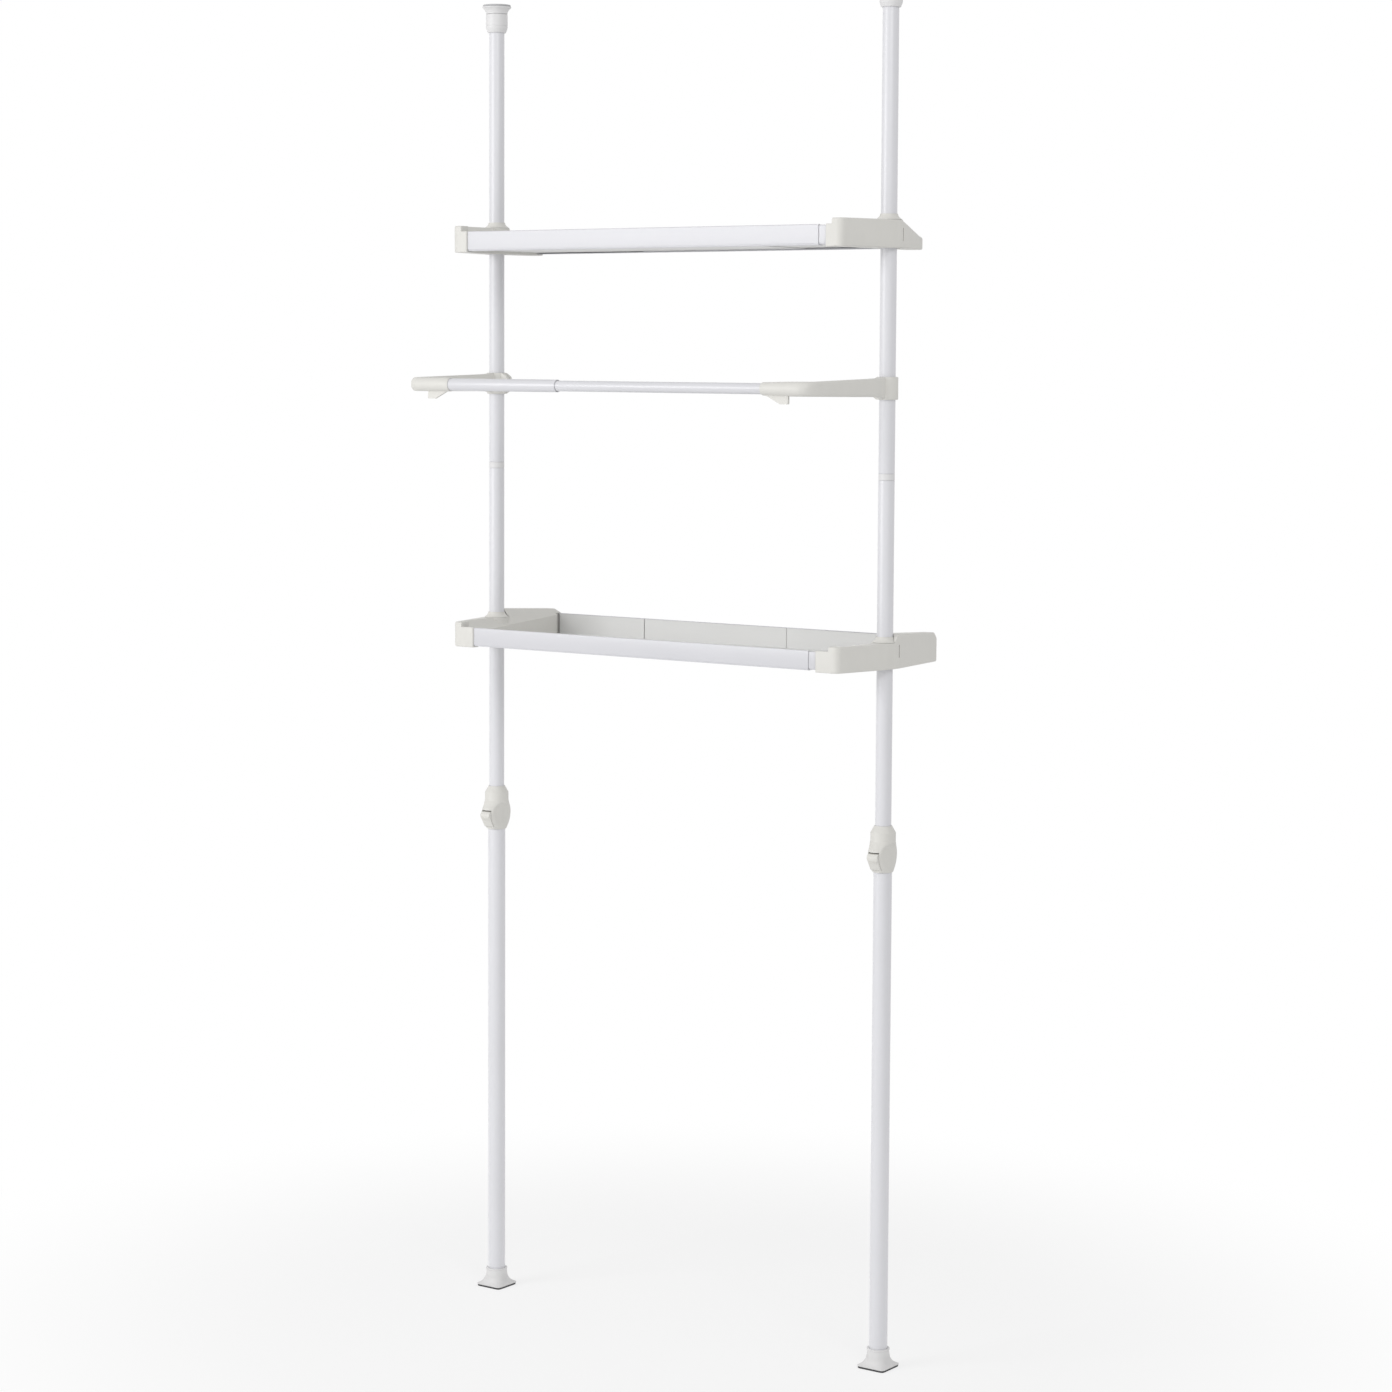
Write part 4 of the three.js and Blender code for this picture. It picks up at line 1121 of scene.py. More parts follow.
def thread_tree():
    """A helical thread that stands on a stem."""
    sizes = {"Radius": 9 * MM, "Depth": 1 * MM, "Height": 100 * MM, "Turns": 24.0}
    tree = Tree("jack_thread", **sizes, Foot=(0, 0, 0))
    radius = tree.given("Radius")
    helix = {"Resolution": 40, "Rotations": tree.given("Turns"), "Height": tree.given("Height")}
    helix |= {"Start Radius": radius, "End Radius": radius}
    path = tree.node("GeometryNodeCurveSpiral", values=helix)
    upright = tree.node("GeometryNodeSetCurveNormal", {"mode": "Z_UP"}, {"Curve": path})
    size = {"Resolution": 6, "Radius": tree.given("Depth")}
    section = tree.node("GeometryNodeCurvePrimitiveCircle", values=size)
    sweep = {"Curve": upright, "Profile Curve": section, "Fill Caps": True}
    thread = tree.node("GeometryNodeCurveToMesh", values=sweep)
    return tree.close(thread, "jack", Translation="Foot")


class RACK_OT_jacks(bpy.types.Operator):
    """Make the ceiling jacks: sleeve, threaded stem with its cap, and pad"""

    bl_idname = "rack.jacks"
    bl_label = "Ceiling jacks"

    def execute(self, context):
        thread = thread_tree()
        for side in SIDES:
            self.make_sleeve(side)
            self.make_cap(side, thread, context.scene.rack_sizes.thread_pitch)
            self.make_pad(side)
        return {"FINISHED"}

    def make_sleeve(self, side):
        node = f"{side}_jack_nut"
        low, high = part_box(node)
        outer = radius_of(node)
        tube = radius_of(f"{side}_upper_tube")
        profile = near(tube, low.z, (0.35, 0.6), (0.9, 0))
        profile += near(JACK_FOOT_RADIUS, low.z, (-0.6, 0), (0, 0.6))
        steps = [k / BELL_STEPS for k in range(1, BELL_STEPS)]
        bell_shares = [(math.sin(t * QUARTER) ** BELL_POWER, t) for t in steps]
        profile += between(profile[-1], (outer, low.z + BELL_TOP), bell_shares)
        seam = low.z + JACK_SEAM
        profile += near(outer, seam, (-0.1, -0.5), (-0.55, -0.15), (-0.55, 0.15), (-0.1, 0.5))
        profile += near(outer, seam, (0, 2), (0, 8))
        profile += near(outer, high.z, (-0.15, -5), (-0.45, -1.2), (-0.9, -0.3), (-1.5, 0))
        profile += near(JACK_STEM_BORE, high.z, (0.6, 0), (0, -0.6))
        profile += [(JACK_STEM_BORE, low.z + JACK_SEAT), *near(tube, low.z + JACK_SEAT, (0.35, 0))]
        deliver_turned(node, side, profile, "jack")

    def make_cap(self, side, thread, pitch):
        node = f"{side}_ceiling_cap"
        low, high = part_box(node)
        outer, neck = radius_of(node), radius_of(f"{side}_jack_nut")
        foot = high_of(f"{side}_jack_nut").z + CAP_GAP
        rim = high.z - CAP_RIM
        profile = [(0, low.z), *near(STEM_RADIUS, low.z, (-1.2, 0), (0, 1.5))]
        profile += near(STEM_RADIUS, foot, (0, 1))
        profile += near(neck, foot, (-1.3, 1), (-1.3, 0.2), (-0.5, 0))
        steps = [k / CAP_STEPS for k in range(1, CAP_STEPS + 1)]
        flare_shares = [(t**FLARE_POWER, t) for t in steps]
        ends = (*near(neck, foot, (-0.3, 0.3)), *near(outer, rim, (-0.55, 0)))
        profile += between(*ends, flare_shares)
        profile += near(outer, rim, (0, 0.4))
        profile += [*near(outer, high.z, (0, -0.7), (-0.25, -0.2), (-0.8, 0)), (0, high.z)]
        deliver_turned(node, side, profile, "jack")
        axis = pole_axis(side)
        height = foot - low.z - THREAD_SHORT
        values = {"Radius": STEM_RADIUS + THREAD_LIFT, "Depth": THREAD_DEPTH, "Height": height}
        start = Vector((axis.x, axis.y, low.z + THREAD_FOOT))
        turns = thread.grow(f"{node}_thread", **values, Turns=height / pitch, Foot=start)
        deliver(turns, node, "jack", detail=True)

    def make_pad(self, side):
        node = f"{side}_ceiling_pad"
        low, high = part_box(node)
        outer = radius_of(node)
        profile = [(0, low.z), *near(outer, low.z, (-0.4, 0), (0, 0.4))]
        profile += near(outer, high.z, (0, -0.8), (-0.8, 0))
        radius = outer - PAD_GROOVE_START
        while radius > PAD_GROOVE_END:
            profile += near(radius, high.z, (0, 0), (-0.5, -0.6), (-1.3, -0.6), (-1.8, 0))
            radius -= PAD_GROOVE_PITCH
        deliver_turned(node, side, [*profile, (0, high.z)], "pad")


# Shelf brackets

# The brackets' own sizes: the tab in front, and the heights of their sides from front to back
BRACKETS = {
    "lower_shelf": {
        "tab_reach": 54 * MM,
        "tab_height": 37 * MM,
        "front": 45 * MM,
        "rear": 60 * MM,
        "rear_start": 8 * MM,
        "drop": 8 * MM,
        "end": 42 * MM,
        "chamfer": 10 * MM,
    },
    "upper_shelf": {
        "tab_reach": 40 * MM,
        "tab_height": 38 * MM,
        "front": 48 * MM,
        "rear": 46 * MM,
        "rear_start": 12 * MM,
        "drop": 22 * MM,
        "end": 21 * MM,
        "chamfer": 16 * MM,
    },
}
BRACKET_INNER = 27 * MM
BRACKET_FRONT = 8 * MM
BRACKET_BULGE = 22.9 * MM
BRACKET_BULGE_HALF = 14 * MM
BRACKET_BULGE_ROUND = 110 * MM
BRACKET_BACK = 3.5 * MM
BRACKET_WEB = 2 * MM
BRACKET_LEDGE = 14 * MM
BRACKET_CORNER = 14 * MM
BRACKET_BEND = 12 * MM
BRACKET_REAR_CORNER = 3 * MM
BRACKET_BOSS = 24 * MM
BOSS_EASE = 0.8 * MM
BRACKET_STEPS = 60
END_STEPS = 7
# How many times the user's edge radius the outer and the inner edges have
OUTER_EDGES = 2.8
INNER_EDGES = 0.9
UPPER_INNER_EDGES = 1.35
WEB_EDGES = 0.4
# How much of the rounded ends' draw the inner face's foot takes
INNER_DRAW_SHARE = 0.9
# Rings of the bracket's skin keep at least this distance
RING_GAP = 0.05 * MM
# The plan's outline starts inboard of the bracket, and the side's outline in front of it
PLAN_START = -60 * MM
SIDE_LINE_START = 20 * MM
TAB_THICKNESS = 3 * MM
TAB_ROUND = 2.7 * MM
TAB_STEPS = 7
TAB_ROOT = 6 * MM
TAB_CORNER_SHARE = 0.85
RAMP_TOP = 8 * MM
RAMP_FOOT_CORNER = 4 * MM
RAMP_TOP_CORNER = 3 * MM
# Where the ramp's foot lies on the inner face, at the ramp's start and at the back
RAMP_FOOT_SHARES = (0.5, 0.7)
RAMP_START = 21 * MM
RISE_START = -6 * MM
RAIL_POCKET = 4 * MM
CONE_FOOT_RADIUS = 20.3 * MM
CONE_TOP_RADIUS = 18.3 * MM
SLEEVE_FLANGE = 22.5 * MM
# The space for the sleeve's neck in millimetres: radius, and height above the front's upper edge
NECK_SPACE = ((19.6, 4), (17.4, 7), (15.9, 10.6), (14.6, 12))
SLIT_HEIGHT = 22 * MM
SLIT_NEAR = (7 * MM, 9 * MM)
SLIT_FAR = (30 * MM, 11.5 * MM)
RAIL_SCREW_HOLE = 2.3 * MM
RAIL_SCREW_HEAD = 4.3 * MM
RAIL_SCREW_SINK = 1.7 * MM
SEAT = 0.3 * MM


class Bracket:
    """A bracket's own directions: x outward from its pole, y back from it and z up from its foot."""

    def __init__(self, shelf, side):
        self.shelf = shelf
        self.side = side
        self.node = f"{shelf}_{side}_bracket"
        self.low, self.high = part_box(self.node)
        self.axis = pole_axis(side)
        self.form = BRACKETS[shelf]
        self.front = self.low.y - self.axis.y
        self.back = self.high.y - self.axis.y
        self.top = max(self.form["front"], self.form["rear"]) + OVERRUN

    def place(self, x, y, z):
        return Vector((self.axis.x + outward(self.side) * x, self.axis.y + y, self.low.z + z))

    def ring(self, y, outline):
        return [self.place(p.x, y, p.y) for p in outline]

    def block(self, name, first, last):
        a, b = self.place(*first), self.place(*last)
        return block(name, (min(a.x, b.x), a.y, a.z), (max(a.x, b.x), b.y, b.z))

    def body(self, edge):
        """The outer side follows a bulging plan, and its top rises and drops towards the back."""
        form, front, back = self.form, self.front, self.back
        corners = [(PLAN_START, front), (-BRACKET_FRONT, front, BRACKET_CORNER)]
        for y in (-BRACKET_BULGE_HALF, BRACKET_BULGE_HALF):
            corners.append((BRACKET_BULGE, y, BRACKET_BULGE_ROUND))
        corners += [(BRACKET_BACK, back, BRACKET_REAR_CORNER), (PLAN_START, back)]
        outer = [(p.y, p.x) for p in rounded(corners, steps=12)[1:-1]]
        corners = [(front - SIDE_LINE_START, form["front"]), (RISE_START, form["front"], BRACKET_BEND)]
        corners.append((form["rear_start"], form["rear"], BRACKET_BEND))
        corners.append((back - form["chamfer"], form["rear"] - form["drop"], BRACKET_REAR_CORNER))
        corners += [(back, form["end"]), (back, 0)]
        crest = [(p.x, p.y) for p in rounded(corners, steps=6)[:-1]]
        soft, snug, brow = OUTER_EDGES * edge, INNER_EDGES * edge, UPPER_INNER_EDGES * edge
        places = {front + (back - front) * k / BRACKET_STEPS for k in range(BRACKET_STEPS + 1)}
        places |= {y for y, _ in outer} | {y for y, _ in crest if front < y < back}
        for k in range(END_STEPS + 1):
            inset = soft * (1 - math.cos(k / END_STEPS * QUARTER))
            places |= {front + inset, back - inset}
        rings = []
        before = front - BRACKET_CORNER
        for y in sorted(places):
            if y - before < RING_GAP:
                continue
            before = y
            drawn = eased_end(y - front, soft) + eased_end(back - y, soft)
            right, top = along_line(outer, y), along_line(crest, y)
            outline = [(-BRACKET_INNER, drawn * INNER_DRAW_SHARE, snug), (right, drawn, soft)]
            outline += [(right, top - drawn, soft), (-BRACKET_INNER, top - drawn, brow)]
            rings.append(self.ring(y, rounded(outline, steps=6)))
        return skin(f"{self.node}_moulding", rings)

    def tab(self):
        """The thin tab in front of the rail, with a rounded inboard end."""
        low, way = self.low, outward(self.side)
        top = low.z + self.form["tab_height"]
        corner = TAB_CORNER_SHARE * TAB_THICKNESS
        outline = [(low.y, low.z, corner), (low.y + TAB_THICKNESS, low.z)]
        outline += [(low.y + TAB_THICKNESS, top), (low.y, top, corner)]
        outline = rounded(outline, steps=6)
        rings = []
        for k in range(TAB_STEPS + 1):
            along = TAB_ROUND * (1 - math.cos(k / TAB_STEPS * QUARTER))
            drawn = eased_end(along, TAB_ROUND)
            thin = (TAB_THICKNESS - drawn) / TAB_THICKNESS
            x = self.place(-self.form["tab_reach"], 0, 0).x + way * along
            rings.append([Vector((x, low.y + drawn + (p.x - low.y) * thin, p.y)) for p in outline])
        root = self.place(-BRACKET_INNER + TAB_ROOT, 0, 0).x
        rings.append([Vector((root, p.x, p.y)) for p in outline])
        return skin("tab", rings)

    def web(self, edge):
        """The strip of plastic under the front rail's end."""
        first = (-self.form["tab_reach"], self.front + TAB_THICKNESS / 2, 0)
        ledge = self.front + TAB_THICKNESS + BRACKET_LEDGE
        web = self.block("web", first, (-BRACKET_INNER + OVERRUN, ledge, BRACKET_WEB))
        ease_edges(web, WEB_EDGES * edge, 2)
        return web

    def ramp(self):
        """Cutter for the slope inside the upper edge, from the front of the boss to the back."""
        form, start = self.form, self.low.y + RAMP_START - self.axis.y
        first_foot = form["front"] * RAMP_FOOT_SHARES[0]
        last_foot = form["rear"] * RAMP_FOOT_SHARES[1]
        stations = [(start, form["front"]), (RISE_START, form["front"])]
        stations += [(form["rear_start"], form["rear"]), (self.back + OVERRUN, form["rear"])]
        rings = []
        for y, brow in stations:
            foot = first_foot + (last_foot - first_foot) * (y - start) / (self.back - start)
            outline = [(-BRACKET_INNER - OVERRUN, foot), (-BRACKET_INNER, foot, RAMP_FOOT_CORNER)]
            outline += [(-RAMP_TOP, brow, RAMP_TOP_CORNER), (-RAMP_TOP, self.top)]
            outline.append((-BRACKET_INNER - OVERRUN, self.top))
            rings.append(self.ring(y, rounded(outline, steps=6)))
        return skin("cutter", rings)

    def boss(self):
        foot, top = self.low.z + BRACKET_WEB, self.low.z + self.form["front"]
        profile = [(0, foot), (BRACKET_BOSS, foot), (BRACKET_BOSS, top - BOSS_EASE)]
        profile += [(BRACKET_BOSS - BOSS_EASE, top), (0, top)]
        return turned("boss", profile, self.axis)

    def rail_pockets(self):
        """Cutters for the ends of the two rails."""
        rail = high_of(f"{self.shelf}_front_outer_rail").z - self.low.z + SEAT
        back_rail = high_of(f"{self.shelf}_back_outer_rail").z - self.low.z + SEAT
        start, end = -BRACKET_INNER - OVERRUN, -BRACKET_INNER + RAIL_POCKET + SEAT
        face, back_face = self.front + TAB_THICKNESS, self.back - TAB_THICKNESS
        depth = BRACKET_LEDGE + 2 * SEAT
        yield self.block("cutter", (start, face, BRACKET_WEB), (end, face + depth, rail))
        yield self.block("cutter", (start, back_face - depth, BRACKET_WEB), (end, back_face, back_rail))

    def bore(self):
        """Cutter for the wedge sleeve and its flange."""
        low, front, top = self.low.z, self.low.z + self.form["front"], self.low.z + self.top
        profile = [(0, low - OVERRUN), (CONE_FOOT_RADIUS, low - OVERRUN)]
        profile += [(CONE_FOOT_RADIUS, low + BRACKET_WEB), (CONE_TOP_RADIUS, front)]
        profile += near(SLEEVE_FLANGE + SEAT, front, (0, 0), (0, 1.2)) + near(0, front, *NECK_SPACE)
        profile += [(profile[-1][0], top), (0, top)]
        return turned("cutter", profile, self.axis)

    def slit(self):
        low = (self.form["rear"] - SLIT_HEIGHT) / 2
        return self.block("cutter", (*SLIT_NEAR, low), (*SLIT_FAR, low + SLIT_HEIGHT))

    def screw_holes(self):
        """Cutters for the rail screw's shaft and head."""
        screw = middle_of(f"{self.shelf}_{self.side}_rail_screw")
        foot = self.low.z - LONG_OVERRUN
        yield upright_cutter(screw, foot, self.low.z + LONG_OVERRUN, RAIL_SCREW_HOLE)
        yield upright_cutter(screw, foot, self.low.z + RAIL_SCREW_SINK, RAIL_SCREW_HEAD)


class RACK_OT_brackets(bpy.types.Operator):
    """Make the moulded brackets at the ends of both shelves"""

    bl_idname = "rack.brackets"
    bl_label = "Shelf brackets"

    def execute(self, context):
        for shelf in SHELVES:
            for side in SIDES:
                self.make_bracket(Bracket(shelf, side), context.scene.rack_sizes.moulded_edge)
        return {"FINISHED"}

    def make_bracket(self, bracket, edge):
        body = bracket.body(edge)
        combine(body, "UNION", bracket.tab(), bracket.web(edge))
        combine(body, "DIFFERENCE", bracket.ramp())
        combine(body, "UNION", bracket.boss())
        combine(body, "DIFFERENCE", *bracket.rail_pockets(), bracket.bore(), bracket.slit())
        combine(body, "DIFFERENCE", *bracket.screw_holes())
        deliver(body, bracket.node, "plastic", angle=34)


# Wedge sleeves

SLEEVE_BORE = 14.35 * MM
SLEEVE_FOOT = 20 * MM
SLEEVE_THROAT = 18 * MM
SLEEVE_NECK = 15.4 * MM
SLEEVE_TOP = 10 * MM
SLEEVE_STEPS = 12
# Half of the angle that the sleeve's slit takes
SLEEVE_SLIT = 0.045


class RACK_OT_sleeves(bpy.types.Operator):
    """Make the split cones that wedge the brackets on the poles"""

    bl_idname = "rack.sleeves"
    bl_label = "Wedge sleeves"

    def execute(self, context):
        for shelf in SHELVES:
            for side in SIDES:
                self.make_sleeve(f"{shelf}_{side}_wedge_sleeve", side)
        return {"FINISHED"}

    def make_sleeve(self, node, side):
        low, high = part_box(node)
        flange = radius_of(node)
        shoulder = high.z - SLEEVE_TOP
        profile = [(SLEEVE_BORE, low.z), *near(SLEEVE_FOOT, low.z, (-0.5, 0), (0, 0.6))]
        profile += [(SLEEVE_THROAT, shoulder), *near(flange, shoulder, (-0.3, 0), (0, 0.3), (0, 0.7))]
        steps = [k / SLEEVE_STEPS for k in range(1, SLEEVE_STEPS + 1)]
        flare_shares = [(1 - (1 - t) ** FLARE_POWER, t) for t in steps]
        profile += between(profile[-1], *near(SLEEVE_NECK, high.z, (0, -0.2)), flare_shares)
        profile += near(SLEEVE_NECK, high.z, (-0.3, 0))
        profile += near(SLEEVE_BORE, high.z, (0.3, 0), (0, -0.4))
        deliver_turned(node, side, profile, "plastic", slit=SLEEVE_SLIT)


# Rails and boards

# The rails' faces stand a little proud of their feet
RAIL_STEP_HEIGHT = 2.5 * MM
RAIL_STEP_DEPTH = 0.8 * MM
# How much shorter the rail's upper lip is than its foot
RAIL_LIP_SHORT = 9 * MM
BOARD_NOTCH = 23.9 * MM


class RACK_OT_rails(bpy.types.Operator):
    """Make the rolled rails of both shelves"""

    bl_idname = "rack.rails"
    bl_label = "Shelf rails"

    def execute(self, context):
        for shelf in SHELVES:
            for place in ("front", "back"):
                for half in ("outer", "inner"):
                    node = f"{shelf}_{place}_{half}_rail"
                    self.make_rail(node, place == "front", context.scene.rack_sizes)
        return {"FINISHED"}

    def make_rail(self, node, in_front, sizes):
        low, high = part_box(node)
        depth = high.y - low.y
        half = sizes.sheet / 2
        top, step = high.z - low.z - half, RAIL_STEP_HEIGHT + half
        path = [(depth - RAIL_LIP_SHORT, top), (half, top), (half, step)]
        path += [(RAIL_STEP_DEPTH + half, step), (RAIL_STEP_DEPTH + half, half), (depth, half)]
        face, way = (low.y, 1) if in_front else (high.y, -1)
        outline = sheet_outline(path, sizes.bend, sizes.sheet, 5)
        outline = [(face + way * p.x, low.z + p.y) for p in outline]
        deliver(carried_along_x(f"{node}_rolled", outline, low.x, high.x), node, "rail", angle=25)


class RACK_OT_boards(bpy.types.Operator):
    """Make the folded tray boards of both shelves"""

    bl_idname = "rack.boards"
    bl_label = "Tray boards"

    def execute(self, context):
        for shelf in SHELVES:
            for letter in "abcd":
                self.make_board(shelf, letter, context.scene.rack_sizes)
        return {"FINISHED"}

    def make_board(self, shelf, letter, sizes):
        node = f"{shelf}_board_{letter}"
        low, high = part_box(node)
        half = sizes.board_sheet / 2
        front, back, base = low.y + half, high.y - half, low.z + half
        front_top = high_of(f"{shelf}_front_outer_rail").z - sizes.sheet
        back_top = high_of(f"{shelf}_back_outer_rail").z - sizes.sheet
        path = [(front, front_top), (front, base), (back, base), (back, back_top)]
        outline = sheet_outline(path, sizes.bend, sizes.board_sheet, 6)
        piece = carried_along_x(f"{node}_folded", outline, low.x, high.x)
        if letter in "ad":
            axis = pole_axis("left" if letter == "a" else "right")
            ends = (low.z - OVERRUN, low.z + OVERRUN)
            combine(piece, "DIFFERENCE", upright_cutter(axis, *ends, BOARD_NOTCH, ROUND))
        deliver(piece, node, "board", angle=25)


# Hanger arms

# The arm's height along its length from the pole
ARM_HEIGHTS = (
    (0, 37.8 * MM),
    (16.6 * MM, 37.0 * MM),
    (21.0 * MM, 33.5 * MM),
    (26.6 * MM, 30.8 * MM),
    (37.7 * MM, 29.3 * MM),
    (130 * MM, 27.2 * MM),
    (221.5 * MM, 25 * MM),
)
ARM_WIDTH = 14 * MM
ARM_STEPS = 40
# A power that sets the rings closer together beside the pole
ARM_STEP_POWER = 1.5
# The section's corners, as shares of its half width: in the shank, and what they gain in the elbow
ARM_CORNER_SHARE = 0.42
ELBOW_CORNER_SHARE = 0.56
# How much higher the arm's upper half is beside the pole, and its limit within the collar
ARM_LIFT_SHARE = 0.2
ARM_LIMIT_SHARE = 0.97
ARM_BEND = 20 * MM
ELBOW_STEPS = 14
ELBOW_HEIGHT = 25 * MM
BAR_SOCKET_END = 92 * MM
BAR_SOCKET_SLIM = 1.5 * MM
BAR_SOCKET_TAPER_SHARE = 0.25
BAR_PLAY = 0.35 * MM
COLLAR_RADIUS = 18.5 * MM
COLLAR_HALF = 19.5 * MM
POLE_BORE = 14.35 * MM
# The hook's fin in millimetres from the pole: where it starts, bends and ends
FIN_REACHES = (40, 56, 82, 91.5)
FIN_CORNERS = (2 * MM, 4 * MM, 8 * MM)
FIN_DROP = 13 * MM
FIN_HALF = 2.5 * MM
LUG_REACH = 30 * MM
LUG_END = 12 * MM
LUG_HALF = 8 * MM
LUG_SLIT = 1.5 * MM
LUG_CORNER = 6 * MM
LUG_ROOT_CORNER = 2 * MM
LUG_INSET = 0.4 * MM
LUG_EASE = 1.2 * MM
CLAMP_HOLE = 2.8 * MM
CLAMP_SHAFT = 2.5 * MM
CLAMP_GRIP = 8 * MM
CLAMP_SINK = 1 * MM
CLAMP_EASE = 0.3 * MM
KNURL_DEPTH = 0.6 * MM
# The knurled head's straight share, its crown's share, and the width that the crown's face keeps
KNURL_SHARES = (0.9, 0.1, 0.88)


def knurl_tree():
    """The ridged head of a clamp screw, pointing up, with an eased crown."""
    sizes = {"Ridges": 18, "Radius": 6 * MM, "Depth": 0.6 * MM, "Height": 8 * MM}
    tree = Tree("knurled_head", **sizes, Foot=(0, 0, 0), Turn=(0, 0, 0))
    radius, height = tree.given("Radius"), tree.given("Height")
    ridges = {"Points": tree.given("Ridges"), "Outer Radius": radius}
    ridges["Inner Radius"] = radius - tree.given("Depth")
    star = tree.node("GeometryNodeCurveStar", values=ridges)
    base = tree.node("GeometryNodeFillCurve", {"mode": "NGONS"}, {"Curve": star})
    values = {"Mesh": base, "Offset Scale": height * KNURL_SHARES[0], "Individual": False}
    tall = tree.node("GeometryNodeExtrudeMesh", {"mode": "FACES"}, values)
    values = {"Mesh": tall, "Offset Scale": height * KNURL_SHARES[1], "Individual": False}
    values["Selection"] = tall.other("Top")
    crown = tree.node("GeometryNodeExtrudeMesh", {"mode": "FACES"}, values)
    values = {"Geometry": crown, "Selection": crown.other("Top")}
    values["Scale"] = KNURL_SHARES[2]
    eased = tree.node("GeometryNodeScaleElements", {"domain": "FACE"}, values)
    under = tree.node("GeometryNodeFlipFaces", values={"Mesh": base})
    both = tree.node("GeometryNodeJoinGeometry", values={"Geometry": eased})
    tree.feed(both.socket.node.inputs["Geometry"], under)
    values = {"Geometry": both, "Distance": MERGE}
    welded = tree.node("GeometryNodeMergeByDistance", values=values)
    return tree.close(welded, "steel", Translation="Foot", Rotation="Turn")


def arm_ring(spot, heading, width, height, share):
    """A ring across the arm: a rounded box that swells into a circle."""
    across = Vector((-heading.y, heading.x))
    ring = []
    for angle in ring_angles(ARM_ROUND):
        square = square_point(angle, 1, ARM_CORNER_SHARE + ELBOW_CORNER_SHARE * share)
        mixed = square.lerp(Vector((math.cos(angle), math.sin(angle))), share)
        sideways = across * (mixed.x * width / 2)
        ring.append(Vector((spot.x + sideways.x, spot.y + sideways.y, mixed.y * height / 2)))
    return ring


